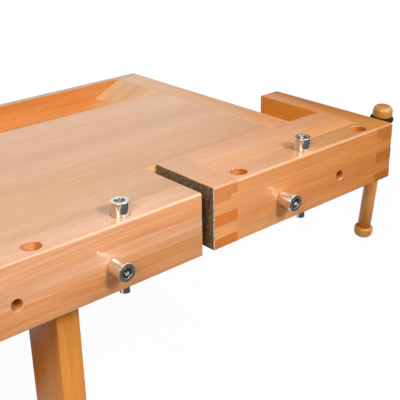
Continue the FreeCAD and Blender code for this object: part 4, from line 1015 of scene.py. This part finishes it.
def backdrop():
    """Floor and backdrop in one sheet: level, then a quarter turn up, carried across the room."""
    turn = np.linspace(0, math.pi / 2, 24)
    bend_run, bend_rise = FLOOR_BEND * np.sin(turn), FLOOR_BEND * (1 - np.cos(turn))
    run = np.concatenate([[-FLOOR_REACH], FLOOR_REACH + bend_run, [FLOOR_REACH + FLOOR_BEND]])
    height = np.concatenate([[0.0], bend_rise, [FLOOR_BEND + FLOOR_RISE]])
    bearing = np.array([math.sin(CAMERA_AZIMUTH), math.cos(CAMERA_AZIMUTH)])
    sideways = np.array([bearing[1], -bearing[0]])
    across = np.array([-FLOOR_HALF, FLOOR_HALF])
    flat = run[:, None, None] * bearing + across[None, :, None] * sideways
    level = np.broadcast_to(height[:, None, None] - FLOOR_DROP, flat.shape[:2] + (1,))
    rows = np.concatenate([flat, level], 2)
    material, tree, shader = surface("floor_paint", roughness=0.9, Base_Color=FLOOR_PAINT)
    output = next(node for node in tree.nodes if node.type == "OUTPUT_MATERIAL")
    glow = add(tree, "Emission", {"Color": WHITE, "Strength": 1.0})
    place, middle = add(tree, "TexCoord").outputs["Object"], (*SCENE_MIDDLE[:2], 0.0)
    away = add(tree, "VectorMath", {0: place, 1: middle}, operation="DISTANCE").outputs["Value"]
    share = ranged(tree, away, 1.2, 3.2, 0.95, 1.0, smooth=True)
    shown = add(tree, "MixShader", {0: share, 1: shader.outputs[0], 2: glow.outputs[0]})
    dim = add(tree, "BsdfDiffuse", {"Color": FLOOR_DIM})
    both = add(tree, "MixShader", {0: seen_directly(tree), 1: dim.outputs[0], 2: shown.outputs[0]})
    tree.links.new(both.outputs[0], output.inputs["Surface"])
    new_piece("floor", rows, loft(rows, closed=False), material)


def lamp(name, bearing, rise, distance, size, power):
    """A square soft lamp at a bearing and a rise above level, turned to the middle of the scene."""
    light = bpy.data.lights.new(name, "AREA")
    light.size = size
    light.energy = power
    level = np.array(bearing) / np.linalg.norm(bearing) * math.cos(math.radians(rise))
    back = np.array([*level, math.sin(math.radians(rise))])
    side = np.cross(UPWARD, back)
    side /= np.linalg.norm(side)
    placed(name, light, side, np.cross(back, side), back, np.array(SCENE_MIDDLE) + back * distance)


def mirrored(piece):
    """Show a piece of the stage in polished surfaces alone."""
    piece.visible_camera = False
    piece.visible_diffuse = False
    piece.visible_shadow = False


def card(name, corners, colour):
    """A level card that is only seen in polished surfaces."""
    rows = np.array([[*corner, CARD_LEVEL] for corner in corners])
    paper = surface(f"{name}_paper", roughness=0.9, Base_Color=(*colour, 1.0))[0]
    mirrored(new_piece(name, rows, [(0, 1, 2, 3)], paper))


def wall(name, line, tones):
    """An upright sheet on a line of points, only seen in polished surfaces, with a tone per point."""
    line = np.array(line, float)
    rows = np.stack([np.pad(line, ((0, 0), (0, 1)), constant_values=level) for level in WALL_LEVELS])
    material = bpy.data.materials.new(f"{name}_paper")
    material.use_nodes = True
    tree = material.node_tree
    tree.nodes.clear()
    tone = add(tree, "Attribute", attribute_name="tone").outputs["Fac"]
    add(tree, "OutputMaterial", {"Surface": add(tree, "Emission", {"Strength": tone}).outputs[0]})
    piece = new_piece(name, rows, loft(rows, closed=False), material)
    shades = piece.data.attributes.new("tone", "FLOAT", "POINT")
    shades.data.foreach_set("value", np.tile(np.array(tones, np.float32), len(WALL_LEVELS)))
    mirrored(piece)


camera()
sky()
backdrop()
for settings in LAMPS:
    lamp(*settings)
card("dark_card", DARK_CARD, DARK_TONE)
card("warm_card", WARM_CARD, WARM_TONE)
wall("right_wall", RIGHT_WALL, RIGHT_TONES)
wall("left_wall", LEFT_WALL, LEFT_TONES)
bpy.context.scene.view_settings.view_transform = "Standard"
